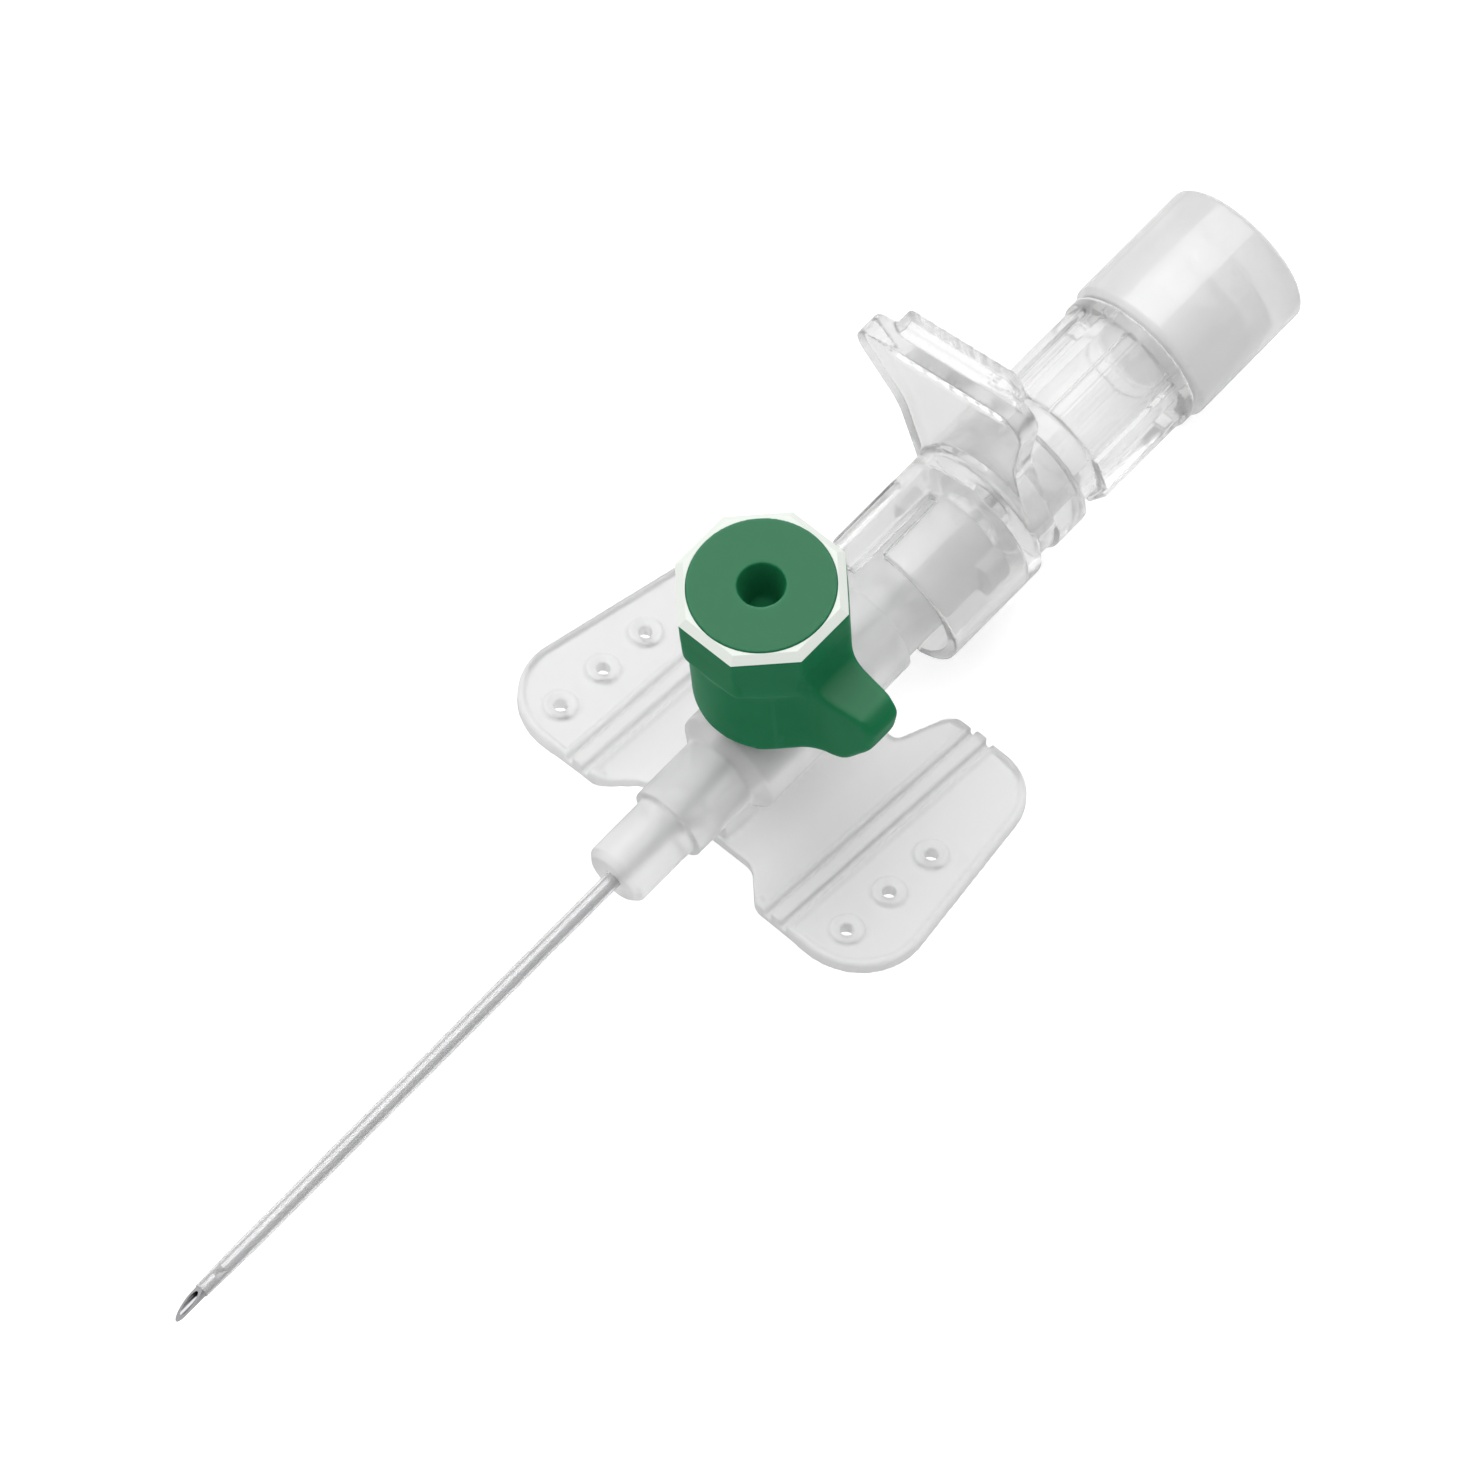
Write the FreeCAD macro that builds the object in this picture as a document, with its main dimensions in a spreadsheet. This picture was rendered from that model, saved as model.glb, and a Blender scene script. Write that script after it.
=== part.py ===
"""Winged intravenous cannula with injection port: catheter, needle set, plug and caps.

Every piece is drawn about one centre: the needle axis runs along +X towards the tail, the port
axis rises along +Z through it, and each piece is then set down as a whole so that the origin is
the middle of the bounding box at table height. Millimetres and degrees throughout.
"""
import FreeCAD, Part
import Sketcher
import math
import os

from FreeCAD import Placement, Rotation, Vector

NODES = []
ALONG_X = Rotation(Vector(0, 1, 0), 90)

doc = FreeCAD.newDocument("iv_cannula")

# Driving dimensions, each one cell of the sheet
DIMENSIONS = [
    ("tip_reach", 54.9, "needle point, forward of the port axis"),
    ("needle_radius", 0.41, "outside of the needle"),
    ("needle_bore", 0.27, "radius of the hole in the needle"),
    ("bevel_length", 2.6, "ground slope of the needle point"),
    ("point_length", 6.0, "front stretch of the needle, with its slope and notch"),
    ("notch_back", 3.6, "flash notch behind the point"),
    ("notch_length", 0.7, "flash notch along the needle"),
    ("notch_depth", 0.26, "flash notch into the needle's top"),
    ("running_gap", 0.03, "radial gap between needle and tube"),
    ("tube_wall", 0.135, "wall of the catheter tube"),
    ("tip_clear", 2.4, "needle point beyond the end of the catheter tube"),
    ("taper_length", 4.2, "thinned end of the catheter tube"),
    ("lip_wall", 0.035, "wall of the tube at its lip"),
    ("swell", 0.02, "how much wider the tube is formed inside the hub"),
    ("swell_length", 0.9, "taper up to that width, behind the front of the hub"),
    ("flare_length", 1.7, "tube flared over its eyelet inside the hub"),
    ("flare_radius", 1.1, "outside of the flare"),
    ("flare_seat", 6.0, "rear of the flare, behind the front of the hub"),
    ("throat_length", 1.0, "narrow passage behind the flare"),
    ("eyelet_wall", 0.12, "sheet of the steel eyelet"),
    ("eyelet_length", 1.3, "steel eyelet, forward of the rear of the flare"),
    ("nose_reach", 15.2, "front of the hub"),
    ("nose_radius", 2.25, "front barrel of the hub"),
    ("nose_bevel", 0.45, "bevelled front edge of the hub"),
    ("nose_back", 10.15, "where the nose meets the middle barrel"),
    ("middle_radius", 2.68, "middle barrel of the hub"),
    ("middle_back", 4.5, "where the middle barrel meets the wide one, forward of the port axis"),
    ("middle_slope", 0.8, "sloping front of the wide barrel"),
    ("barrel_radius", 3.7, "wide barrel of the hub"),
    ("barrel_back", 8.5, "rear end of the wide barrel"),
    ("chamber_radius", 1.95, "passage under the port"),
    ("luer_radius", 2.1, "socket at the rear of the hub and in the port"),
    ("luer_depth", 7.4, "depth of the rear socket"),
    ("hub_reach", 17.2, "rear end of the hub"),
    ("socket_wall", 1.2, "wall of the rear socket"),
    ("lug_rise", 0.8, "locking lug above the rear barrel"),
    ("lug_width", 3.2, "width of a locking lug"),
    ("lug_length", 1.9, "locking lug along the axis"),
    ("port_wall", 0.8, "wall of the port"),
    ("chimney_top", 9.4, "mouth of the port above the axis"),
    ("port_depth", 6.0, "depth of the port socket"),
    ("port_feed", 1.2, "radius of the hole from the port to the passage"),
    ("wing_thick", 0.85, "wing sheet"),
    ("wing_pitch", 9.5, "slope of the wings to the needle axis"),
    ("wing_drop", 5.13, "wing sheet below the axis, at the port"),
    ("wing_span", 16.85, "half of the span at the leading corners, before they are rounded"),
    ("wing_front", 10.1, "leading edge of a wing"),
    ("wing_back", 9.55, "trailing edge of a wing"),
    ("wing_side_fall", 3.2, "how much narrower a wing is at the trailing edge"),
    ("wing_sweep", 0.25, "how far the leading edge runs back towards the middle"),
    ("wing_lead_round", 4.6, "rounded leading corner of a wing"),
    ("wing_trail_round", 3.7, "rounded trailing corner of a wing"),
    ("wing_lead_neck", 6.7, "leading edge of a wing begins, from the middle"),
    ("wing_trail_neck", 5.9, "trailing edge of a wing begins, from the middle"),
    ("wing_neck_round", 1.2, "rounded corners between a wing and the middle"),
    ("root_front", 7.75, "leading edge between the wings"),
    ("root_back", 5.65, "trailing edge between the wings"),
    ("root_width", 4.6, "half width of the middle of the sheet"),
    ("keel_width", 4.4, "web between the barrel and the sheet"),
    ("keel_inset", 0.3, "web short of the sheet's edges"),
    ("fold_offset", 8.4, "fold rib of a wing from the middle"),
    ("fold_width", 0.9, "fold rib"),
    ("fold_height", 0.4, "fold rib above and groove below"),
    ("pore_offset", 12.15, "row of wing holes from the middle"),
    ("pore_middle", 3.4, "middle hole, forward of the port axis"),
    ("pore_pitch", 3.95, "between two wing holes"),
    ("pore_radius", 0.45, "wing hole"),
    ("boss_radius", 1.15, "raised boss round a wing hole"),
    ("boss_height", 0.25, "that boss above the sheet"),
    ("sleeve_wall", 0.45, "silicone valve sleeve"),
    ("sleeve_reach", 4.2, "half length of the valve sleeve"),
    ("fit_gap", 0.02, "radial gap of parts pressed together"),
    ("seat_gap", 0.05, "radial gap of a luer taper in its socket"),
    ("ring_clear", 0.1, "retaining ring above the wide barrel"),
    ("ring_thick", 0.55, "retaining ring"),
    ("ring_inset", 0.57, "retaining ring inside the outside of the cap"),
    ("ring_bevel", 0.3, "bevelled lower edge of the retaining ring"),
    ("part_gap", 0.15, "gap between cap and retaining ring"),
    ("bowl_inset", 0.23, "round lower part of the cap, inside the head's flats"),
    ("bowl_round", 0.95, "lower edge of the cap, eased by two slopes"),
    ("bowl_lean", 0.28, "where those two slopes meet, from the corner"),
    ("cap_wall", 0.6, "wall of the cap"),
    ("head_clear", 2.6, "octagonal head of the cap, above the port"),
    ("head_height", 4.5, "octagonal head up to its pale rim"),
    ("head_flats", 10.5, "octagonal head across its flats"),
    ("rim_height", 0.45, "height of the pale rim"),
    ("rim_land", 0.05, "top of the pale rim, round the disc"),
    ("rim_width", 0.55, "pale rim between the head's flats and the disc"),
    ("disc_step", 0.15, "disc above the pale rim"),
    ("dip_radius", 1.55, "hole in the top of the cap"),
    ("dip_floor", 0.85, "radius of that hole at its floor"),
    ("dip_depth", 3.2, "depth of that hole"),
    ("stopper_radius", 2.5, "stopper that closes the mouth of the port"),
    ("ceiling_step", 0.6, "hollow of the cap above the foot of the head"),
    ("tab_step", 0.1, "flat top of the thumb tab above the foot of the head"),
    ("tab_reach", 10.0, "tip of the thumb tab from the port axis"),
    ("tab_width", 2.55, "thumb tab at its tip"),
    ("tab_root", 3.7, "thumb tab where it leaves the cap"),
    ("tab_rise", 2.1, "hollow above the tab, up the head"),
    ("tab_hollow", 0.5, "foot of that hollow, out from the head"),
    ("tab_hollow_round", 1.5, "round of that hollow"),
    ("tab_slope", 0.9, "sloping end of the tab, along it"),
    ("tab_lip", 1.1, "sloping end of the tab, down it"),
    ("tab_chin", 3.7, "lower end of the tab's tip, below its top"),
    ("tab_chin_inset", 0.55, "lower end of the tab's tip, in from the tip"),
    ("tab_belly", 2.2, "underside of the tab begins, out from the bowl"),
    ("tab_belly_rise", 0.35, "underside of the tab begins, above the bowl's foot"),
    ("tab_round", 2.0, "rounded underside of the tab"),
    ("tab_edge", 0.3, "rounded edges of the tab's end"),
    ("tab_cheek", 3.0, "hollow between the tab and the bowl"),
    ("tab_cheek_out", 0.35, "middle of that hollow, out from the bowl"),
    ("hinge_stand", 0.48, "film hinge outside the cap"),
    ("hinge_rise", 0.05, "film hinge above the retaining ring"),
    ("hinge_radius", 0.35, "bead of the film hinge"),
    ("hinge_width", 3.4, "length of the film hinge"),
    ("hinge_lug", 0.65, "thickness of the lug that carries the hinge"),
    ("strap_height", 1.2, "height of the hinge's strap on the cap"),
    ("collar_depth", 6.3, "clear collar forward over the rear of the hub"),
    ("collar_room", 0.35, "clear collar outside the locking lugs"),
    ("collar_wall", 0.8, "wall of the clear collar"),
    ("collar_clear", 1.0, "hollow of the collar behind the hub"),
    ("collar_end", 0.9, "closed end of the collar"),
    ("ear_reach", 1.9, "how far the two ears stand forward of the collar"),
    ("ear_angle", 38.0, "width of an ear round the collar"),
    ("ear_turn", 112.0, "middle of an ear, from the finger plate"),
    ("slot_angle", 9.0, "width of a slot beside an ear"),
    ("slot_length", 5.2, "slot beside an ear, from the front edge"),
    ("male_length", 6.0, "male taper into the rear socket"),
    ("taper_wall", 0.77, "wall of the male taper"),
    ("taper_fall", 0.15, "how much slimmer the male taper is at its front"),
    ("taper_lead", 1.2, "length of that slimmer front"),
    ("glue_length", 3.0, "needle held in the front of the male taper"),
    ("plate_thick", 1.75, "finger plate"),
    ("plate_crown", 2.1, "top of the finger plate, above its widest height"),
    ("plate_width", 14.1, "finger plate across its top"),
    ("plate_waist", 10.1, "finger plate across its waist"),
    ("plate_flare", 7.6, "height where the finger plate begins to widen"),
    ("plate_shoulder", 12.2, "height where it is widest"),
    ("plate_round", 1.6, "rounded corners of the finger plate"),
    ("plate_waist_round", 5.0, "round where the finger plate begins to widen"),
    ("plate_shoulder_round", 1.5, "round where the finger plate is widest"),
    ("lip_thick", 1.2, "ledge behind the top of the finger plate"),
    ("lip_height", 2.4, "ledge along the plate's height"),
    ("lip_inset", 2.1, "ledge short of the plate's corner"),
    ("lip_proud", 0.15, "ledge above the plate"),
    ("lip_round", 0.8, "rounded upper corners of the ledge"),
    ("plate_turn", 13.0, "how far the needle set is turned in its seat"),
    ("barrel_wall", 1.1, "wall of the flash chamber"),
    ("flange_stand", 0.15, "flange behind the finger plate"),
    ("flange_length", 2.7, "flange of the needle hub"),
    ("flange_rise", 0.3, "flange above the flash chamber"),
    ("chamber_clear", 3.5, "flash chamber inside"),
    ("chamber_floor", 0.5, "front wall of the flash chamber"),
    ("needle_stub", 0.8, "needle inside the flash chamber"),
    ("plug_seat", 4.0, "how far the plug enters the chamber"),
    ("neck_step", 0.65, "neck of the plug, outside its spigot"),
    ("neck_length", 1.8, "neck between the needle hub and the grip"),
    ("grip_length", 7.3, "ribbed grip of the plug"),
    ("grip_radius", 4.5, "plug between its ribs"),
    ("rib_height", 0.3, "grip panel above the plug"),
    ("rib_width", 3.0, "grip panel"),
    ("rib_count", 8, "grip panels"),
    ("bead_rise", 0.65, "bead behind the grip, above it"),
    ("bead_length", 0.9, "that bead along the axis"),
    ("stub_radius", 4.3, "spigot that carries the tail cap"),
    ("stub_clear", 1.9, "spigot short of the tail cap's closed end"),
    ("plug_bore", 2.7, "vent passage of the plug"),
    ("filter_thick", 1.0, "vent filter"),
    ("filter_seat", 1.2, "lip behind the vent filter"),
    ("tail_gap", 0.2, "tail cap behind the bead"),
    ("tail_length", 9.9, "tail cap"),
    ("tail_wall", 1.08, "wall of the tail cap"),
    ("tail_shoulder", 0.4, "bevelled front edge of the tail cap"),
    ("tail_edge", 0.25, "bevelled rear edge of the tail cap"),
    ("tail_floor", 2.4, "closed end of the tail cap"),
]

# What follows from them: stations along the needle axis, heights above it and radii
DERIVED = [
    ("tube_reach", "dims.tip_reach - dims.tip_clear", "end of the catheter tube, forward of the port axis"),
    ("flare_back", "dims.nose_reach - dims.flare_seat", "rear of the flare, forward of the port axis"),
    ("hub_rear_radius", "dims.luer_radius + dims.socket_wall", "rear barrel of the hub"),
    ("lug_radius", "hub_rear_radius + dims.lug_rise", "outside of the two locking lugs"),
    ("chimney_radius", "dims.luer_radius + dims.port_wall", "outside of the port"),
    ("ring_bottom", "dims.barrel_radius + dims.ring_clear", "underside of the retaining ring"),
    ("ring_top", "ring_bottom + dims.ring_thick", "upper side of the retaining ring"),
    ("bowl_radius", "dims.head_flats / 2 - dims.bowl_inset", "round lower part of the cap"),
    ("ring_radius", "bowl_radius - dims.ring_inset", "outside of the retaining ring"),
    ("hinge_offset", "bowl_radius + dims.hinge_stand", "film hinge from the port axis"),
    ("hinge_height", "ring_top + dims.hinge_rise", "film hinge above the needle axis"),
    ("head_bottom", "dims.chimney_top + dims.head_clear", "octagonal head of the cap begins"),
    ("rim_bottom", "head_bottom + dims.head_height", "pale rim begins"),
    ("rim_top", "rim_bottom + dims.rim_height", "upper edge of the pale rim"),
    ("disc_top", "rim_top + dims.disc_step", "top of the cap"),
    ("disc_radius", "dims.head_flats / 2 - dims.rim_width", "round top of the cap"),
    ("ceiling", "head_bottom + dims.ceiling_step", "underside of the cap's top, inside"),
    ("tab_top", "head_bottom + dims.tab_step", "flat top of the thumb tab"),
    ("collar_front", "dims.hub_reach - dims.collar_depth", "front edge of the clear collar"),
    ("collar_back", "dims.hub_reach + dims.collar_clear", "inside end of the clear collar"),
    ("collar_radius", "lug_radius + dims.collar_room + dims.collar_wall", "outside of the clear collar"),
    ("taper_front", "dims.hub_reach - dims.male_length", "front end of the male taper"),
    ("plate_front", "collar_back + dims.collar_end", "front face of the finger plate"),
    ("plate_height", "dims.plate_shoulder + dims.plate_crown", "top of the finger plate"),
    ("chamber_start", "plate_front + dims.chamber_floor", "flash chamber begins"),
    ("needle_end", "chamber_start + dims.needle_stub", "rear end of the needle"),
    ("barrel_clear", "dims.chamber_clear + dims.barrel_wall", "flash chamber outside"),
    ("flange_front", "plate_front + dims.plate_thick + dims.flange_stand", "front of the flange"),
    ("flange_back", "flange_front + dims.flange_length", "rear end of the needle hub"),
    ("flange_radius", "barrel_clear + dims.flange_rise", "flange of the needle hub"),
    ("neck_radius", "dims.chamber_clear + dims.neck_step", "neck of the plug"),
    ("grip_front", "flange_back + dims.neck_length", "front of the plug's ribbed grip"),
    ("grip_back", "grip_front + dims.grip_length", "rear of the plug's ribbed grip"),
    ("bead_radius", "dims.grip_radius + dims.bead_rise", "bead behind the grip"),
    ("bead_back", "grip_back + dims.bead_length", "rear of that bead"),
    ("tail_front", "bead_back + dims.tail_gap", "front of the tail cap"),
    ("tail_reach", "tail_front + dims.tail_length", "rear end of the part"),
    ("tail_radius", "dims.stub_radius + dims.seat_gap + dims.tail_wall", "outside of the tail cap"),
    ("stub_back", "tail_reach - dims.tail_floor - dims.stub_clear", "rear end of the spigot"),
    ("filter_back", "stub_back - dims.filter_seat", "rear face of the vent filter"),
]


def fill(name, rows):
    """Make a sheet with a note and a named cell in each row."""
    sheet = doc.addObject("Spreadsheet::Sheet", name)
    for row, (alias, content, note) in enumerate(rows, start=1):
        sheet.set("A%d" % row, note)
        sheet.set("B%d" % row, content)
        sheet.setAlias("B%d" % row, alias)
    doc.recompute()
    return sheet


driving_sheet = fill("dims", [(alias, str(value), note) for alias, value, note in DIMENSIONS])
derived_sheet = fill("places", [(alias, "=" + formula, note) for alias, formula, note in DERIVED])


def size(formula):
    """Return the value of a formula written with the aliases of both sheets."""
    value = derived_sheet.evalExpression(formula)
    return float(getattr(value, "Value", value))


def dims(name):
    """Return one driving dimension."""
    return size("dims." + name)


def places(name):
    """Return one dimension that follows from the driving ones."""
    return size("places." + name)


def bind(item, **formulas):
    """Tie properties of an object to formulas; two underscores stand for a dot."""
    for name, formula in formulas.items():
        item.setExpression(name.replace("__", "."), formula)
    return item


def rod(name, start, end, radius):
    """A cylinder along the needle axis between two stations."""
    item = doc.addObject("Part::Cylinder", name)
    item.Placement = Placement(Vector(), ALONG_X)
    return bind(item, Radius=radius, Height="(%s) - (%s)" % (end, start), Placement__Base__x=start)


def post(name, bottom, top, radius):
    """A cylinder along the port axis between two heights."""
    item = doc.addObject("Part::Cylinder", name)
    return bind(item, Radius=radius, Height="(%s) - (%s)" % (top, bottom), Placement__Base__z=bottom)


def block(name, low, high):
    """A box between two corners, each a list of three formulas."""
    item = doc.addObject("Part::Box", name)
    return bind(
        item,
        Length="(%s) - (%s)" % (high[0], low[0]),
        Width="(%s) - (%s)" % (high[1], low[1]),
        Height="(%s) - (%s)" % (high[2], low[2]),
        Placement__Base__x=low[0],
        Placement__Base__y=low[1],
        Placement__Base__z=low[2],
    )


def fuse(name, *items):
    """Join solids."""
    joined = doc.addObject("Part::MultiFuse", name)
    joined.Shapes = list(items)
    joined.Refine = True
    return joined


def cut(name, base, *tools):
    """Take tools away from a base."""
    tool = tools[0]
    if len(tools) > 1:
        tool = doc.addObject("Part::MultiFuse", name + "_tools")
        tool.Shapes = list(tools)
    result = doc.addObject("Part::Cut", name)
    result.Base = base
    result.Tool = tool
    result.Refine = True
    return result


def common(name, first, second):
    """Keep what two solids share."""
    result = doc.addObject("Part::MultiCommon", name)
    result.Shapes = [first, second]
    return result


def turned(name, corners, upright=False):
    """A turned solid: a sketch of corners (station, radius), each bound to the sheet, and a full
    revolution about the needle axis, or about the port axis where it is upright."""
    body = doc.addObject("PartDesign::Body", name)
    sketch = body.newObject("Sketcher::SketchObject", name + "_profile")
    plane = [item for item in body.Origin.OriginFeatures if item.Role == "XZ_Plane"][0]
    sketch.AttachmentSupport = [(plane, "")]
    sketch.MapMode = "FlatFace"
    places = []
    for station, radius in corners:
        across, up = (radius, station) if upright else (station, radius)
        places.append((across, up, Vector(size(across), size(up), 0)))
    for index, (across, up, here) in enumerate(places):
        there = places[(index + 1) % len(places)][2]
        sketch.addGeometry(Part.LineSegment(here, there), False)
    joint = Sketcher.Constraint
    for index in range(len(places)):
        sketch.addConstraint(joint("Coincident", index, 2, (index + 1) % len(places), 1))
    for index, (across, up, here) in enumerate(places):
        for kind, formula, value in (("DistanceX", across, here.x), ("DistanceY", up, here.y)):
            if formula == "0":
                sketch.addConstraint(joint("PointOnObject", index, 1, -2 if kind == "DistanceX" else -1))
                continue
            number = sketch.addConstraint(joint(kind, -1, 1, index, 1, value))
            sketch.setExpression("Constraints[%d]" % number, formula)
    spin = body.newObject("PartDesign::Revolution", name + "_spin")
    spin.Profile = sketch
    spin.ReferenceAxis = (sketch, ["V_Axis" if upright else "H_Axis"])
    spin.Angle = 360
    return body


def rounded_outline(corners, depth, name):
    """Extrude an outline in the plane z = 0 upwards by depth; corners are (x, y, radius)."""
    edges = []
    count = len(corners)
    ends = []
    for index in range(count):
        before = Vector(*corners[index - 1][:2], 0)
        here = Vector(*corners[index][:2], 0)
        after = Vector(*corners[(index + 1) % count][:2], 0)
        radius = corners[index][2]
        back = (before - here).normalize()
        ahead = (after - here).normalize()
        half = back.getAngle(ahead) / 2
        if radius == 0:
            ends.append((here, None, here))
            continue
        run = radius / math.tan(half)
        toward = (back + ahead).normalize()
        middle = here + toward * (radius / math.sin(half) - radius)
        ends.append((here + back * run, middle, here + ahead * run))
    for index in range(count):
        start, middle, end = ends[index]
        if middle is not None:
            edges.append(Part.Arc(start, middle, end).toShape())
        following = ends[(index + 1) % count][0]
        if (following - end).Length > 1e-6:
            edges.append(Part.LineSegment(end, following).toShape())
    face = Part.Face(Part.Wire(edges))
    item = doc.addObject("Part::Feature", name)
    item.Shape = face.extrude(Vector(0, 0, depth))
    return item


def node(name, item, needle_set=False):
    """Name a finished piece and set it down: port axis along X, needle axis above the table."""
    item.Label = name
    if needle_set:
        item.Placement = Placement(Vector(), Rotation(Vector(-1, 0, 0), dims("plate_turn")))
        bind(item, Placement__Rotation__Angle="dims.plate_turn")
    bind(item, Placement__Base__x=PORT_X, Placement__Base__z=AXIS_HEIGHT)
    NODES.append((name, item))
    return item


def prism(name, corners, axis, half_width):
    """Extrude a polygon of points along an axis, both ways by half_width."""
    wire = Part.makePolygon(corners + corners[:1])
    shape = Part.Face(wire).extrude(axis * (2 * half_width))
    shape.translate(axis * -half_width)
    item = doc.addObject("Part::Feature", name)
    item.Shape = shape
    return item


def sector(name, start, end, radius, middle_angle, width_angle):
    """A wedge about the needle axis; angles are measured from +Z towards -Y."""
    item = doc.addObject("Part::Cylinder", name)
    turn = Rotation(X_AXIS, middle_angle - width_angle / 2 - 90)
    item.Placement = Placement(Vector(size(start), 0, 0), turn * ALONG_X)
    item.Angle = width_angle
    return bind(item, Radius=radius, Height="(%s) - (%s)" % (end, start))


def bevelled(station, radius, bevel):
    """Corners of a turned piece that begins at a station, with its edge bevelled."""
    return [(station, "%s - %s" % (radius, bevel)), ("%s + %s" % (station, bevel), radius)]


X_AXIS = Vector(1, 0, 0)
Y_AXIS = Vector(0, 1, 0)
Z_AXIS = Vector(0, 0, 1)
PORT_X = "(dims.tip_reach - places.tail_reach) / 2"
AXIS_HEIGHT = (
    "dims.wing_drop + dims.wing_back * sin(dims.wing_pitch)"
    " + dims.wing_thick / 2 * cos(dims.wing_pitch)"
)
# Overshoot of cutting tools past the face that they open
PAST = 1.0

TUBE_BORE = "dims.needle_radius + dims.running_gap"
TUBE_OUTSIDE = TUBE_BORE + " + dims.tube_wall"
TUBE_HELD = TUBE_OUTSIDE + " + dims.swell"
SWELL_BACK = "dims.swell_length - dims.nose_reach"
FLARE_FRONT = "-(places.flare_back + dims.flare_length)"


def catheter_tube():
    """The soft tube: thinned at its lip, formed wider in the hub and flared there."""
    item = turned("tube", [
        ("-places.tube_reach", TUBE_BORE),
        ("-places.tube_reach", TUBE_BORE + " + dims.lip_wall"),
        ("dims.taper_length - places.tube_reach", TUBE_OUTSIDE),
        ("-dims.nose_reach", TUBE_OUTSIDE),
        (SWELL_BACK, TUBE_HELD),
        (FLARE_FRONT, TUBE_HELD),
        ("-places.flare_back", "dims.flare_radius"),
        ("-places.flare_back", "dims.flare_radius - dims.tube_wall"),
        (FLARE_FRONT, TUBE_BORE),
    ])
    node("catheter_tube", item)


def tube_eyelet():
    """The steel funnel that holds the flared tube in the hub."""
    front = "-(places.flare_back + dims.eyelet_length)"
    mouth = "dims.flare_radius - dims.tube_wall - dims.fit_gap"
    opening = "(dims.flare_radius - dims.tube_wall - (%s))" % TUBE_BORE
    throat = "%s - %s * dims.eyelet_length / dims.flare_length" % (mouth, opening)
    item = turned("eyelet", [
        (front, throat + " - dims.eyelet_wall"),
        (front, throat),
        ("-places.flare_back", mouth),
        ("-places.flare_back", mouth + " - dims.eyelet_wall"),
    ])
    node("tube_eyelet", item)


def wing_outline(depth, name):
    """The outline of both wings and the sheet between them, in the plane of the wings."""
    front = dims("wing_front")
    back = dims("wing_back")
    span = dims("wing_span")
    waist = dims("root_width")
    neck_round = dims("wing_neck_round")
    side = [
        (-dims("root_front"), waist, neck_round),
        (dims("wing_sweep") - front, dims("wing_lead_neck"), neck_round),
        (-front, span, dims("wing_lead_round")),
        (back, span - dims("wing_side_fall"), dims("wing_trail_round")),
        (back, dims("wing_trail_neck"), neck_round),
        (dims("root_back"), waist, neck_round / 2),
    ]
    mirrored = [(x, -y, radius) for x, y, radius in reversed(side)]
    return rounded_outline(side + mirrored, depth, name)


def wings():
    """The wing sheet with its fold ribs, bosses and holes, pitched to the needle axis."""
    thick = dims("wing_thick")
    height = dims("fold_height")
    sheet_solid = wing_outline(thick, "wing_sheet")
    ribs = []
    grooves = []
    bosses = []
    holes = []
    reach = dims("wing_front") + PAST
    for side in (1, -1):
        middle = side * dims("fold_offset")
        half = dims("fold_width") / 2
        bar = doc.addObject("Part::Feature", "fold_bar")
        bar.Shape = Part.makeBox(2 * reach, 2 * half, thick + height, Vector(-reach, middle - half, 0))
        ribs.append(bar)
        for low in (-half - height, half):
            groove = doc.addObject("Part::Feature", "fold_groove")
            groove.Shape = Part.makeBox(
                2 * reach, height, height, Vector(-reach, middle + low, thick - height))
            grooves.append(groove)
        for step in (-1, 0, 1):
            x = -dims("pore_middle") + step * dims("pore_pitch")
            y = side * dims("pore_offset")
            boss = doc.addObject("Part::Feature", "hole_boss")
            boss.Shape = Part.makeCylinder(
                dims("boss_radius"), thick + dims("boss_height"), Vector(x, y, 0))
            bosses.append(boss)
            hole = doc.addObject("Part::Feature", "wing_hole")
            hole.Shape = Part.makeCylinder(
                dims("pore_radius"), thick + 2 * PAST, Vector(x, y, -PAST))
            holes.append(hole)
    bars = fuse("fold_bars", *ribs)
    high = wing_outline(thick + height, "wing_room")
    kept = common("fold_ribs", bars, high)
    carved = cut("wing_carved", sheet_solid, *grooves)
    solid = fuse("wing_raised", carved, kept, *bosses)
    pierced = cut("wing_pierced", solid, *holes)
    tilt = Rotation(Y_AXIS, dims("wing_pitch"))
    lift = tilt.multVec(Vector(0, 0, -thick / 2))
    pierced.Placement = Placement(Vector(0, 0, -dims("wing_drop")) + lift, tilt)
    return pierced


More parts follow.
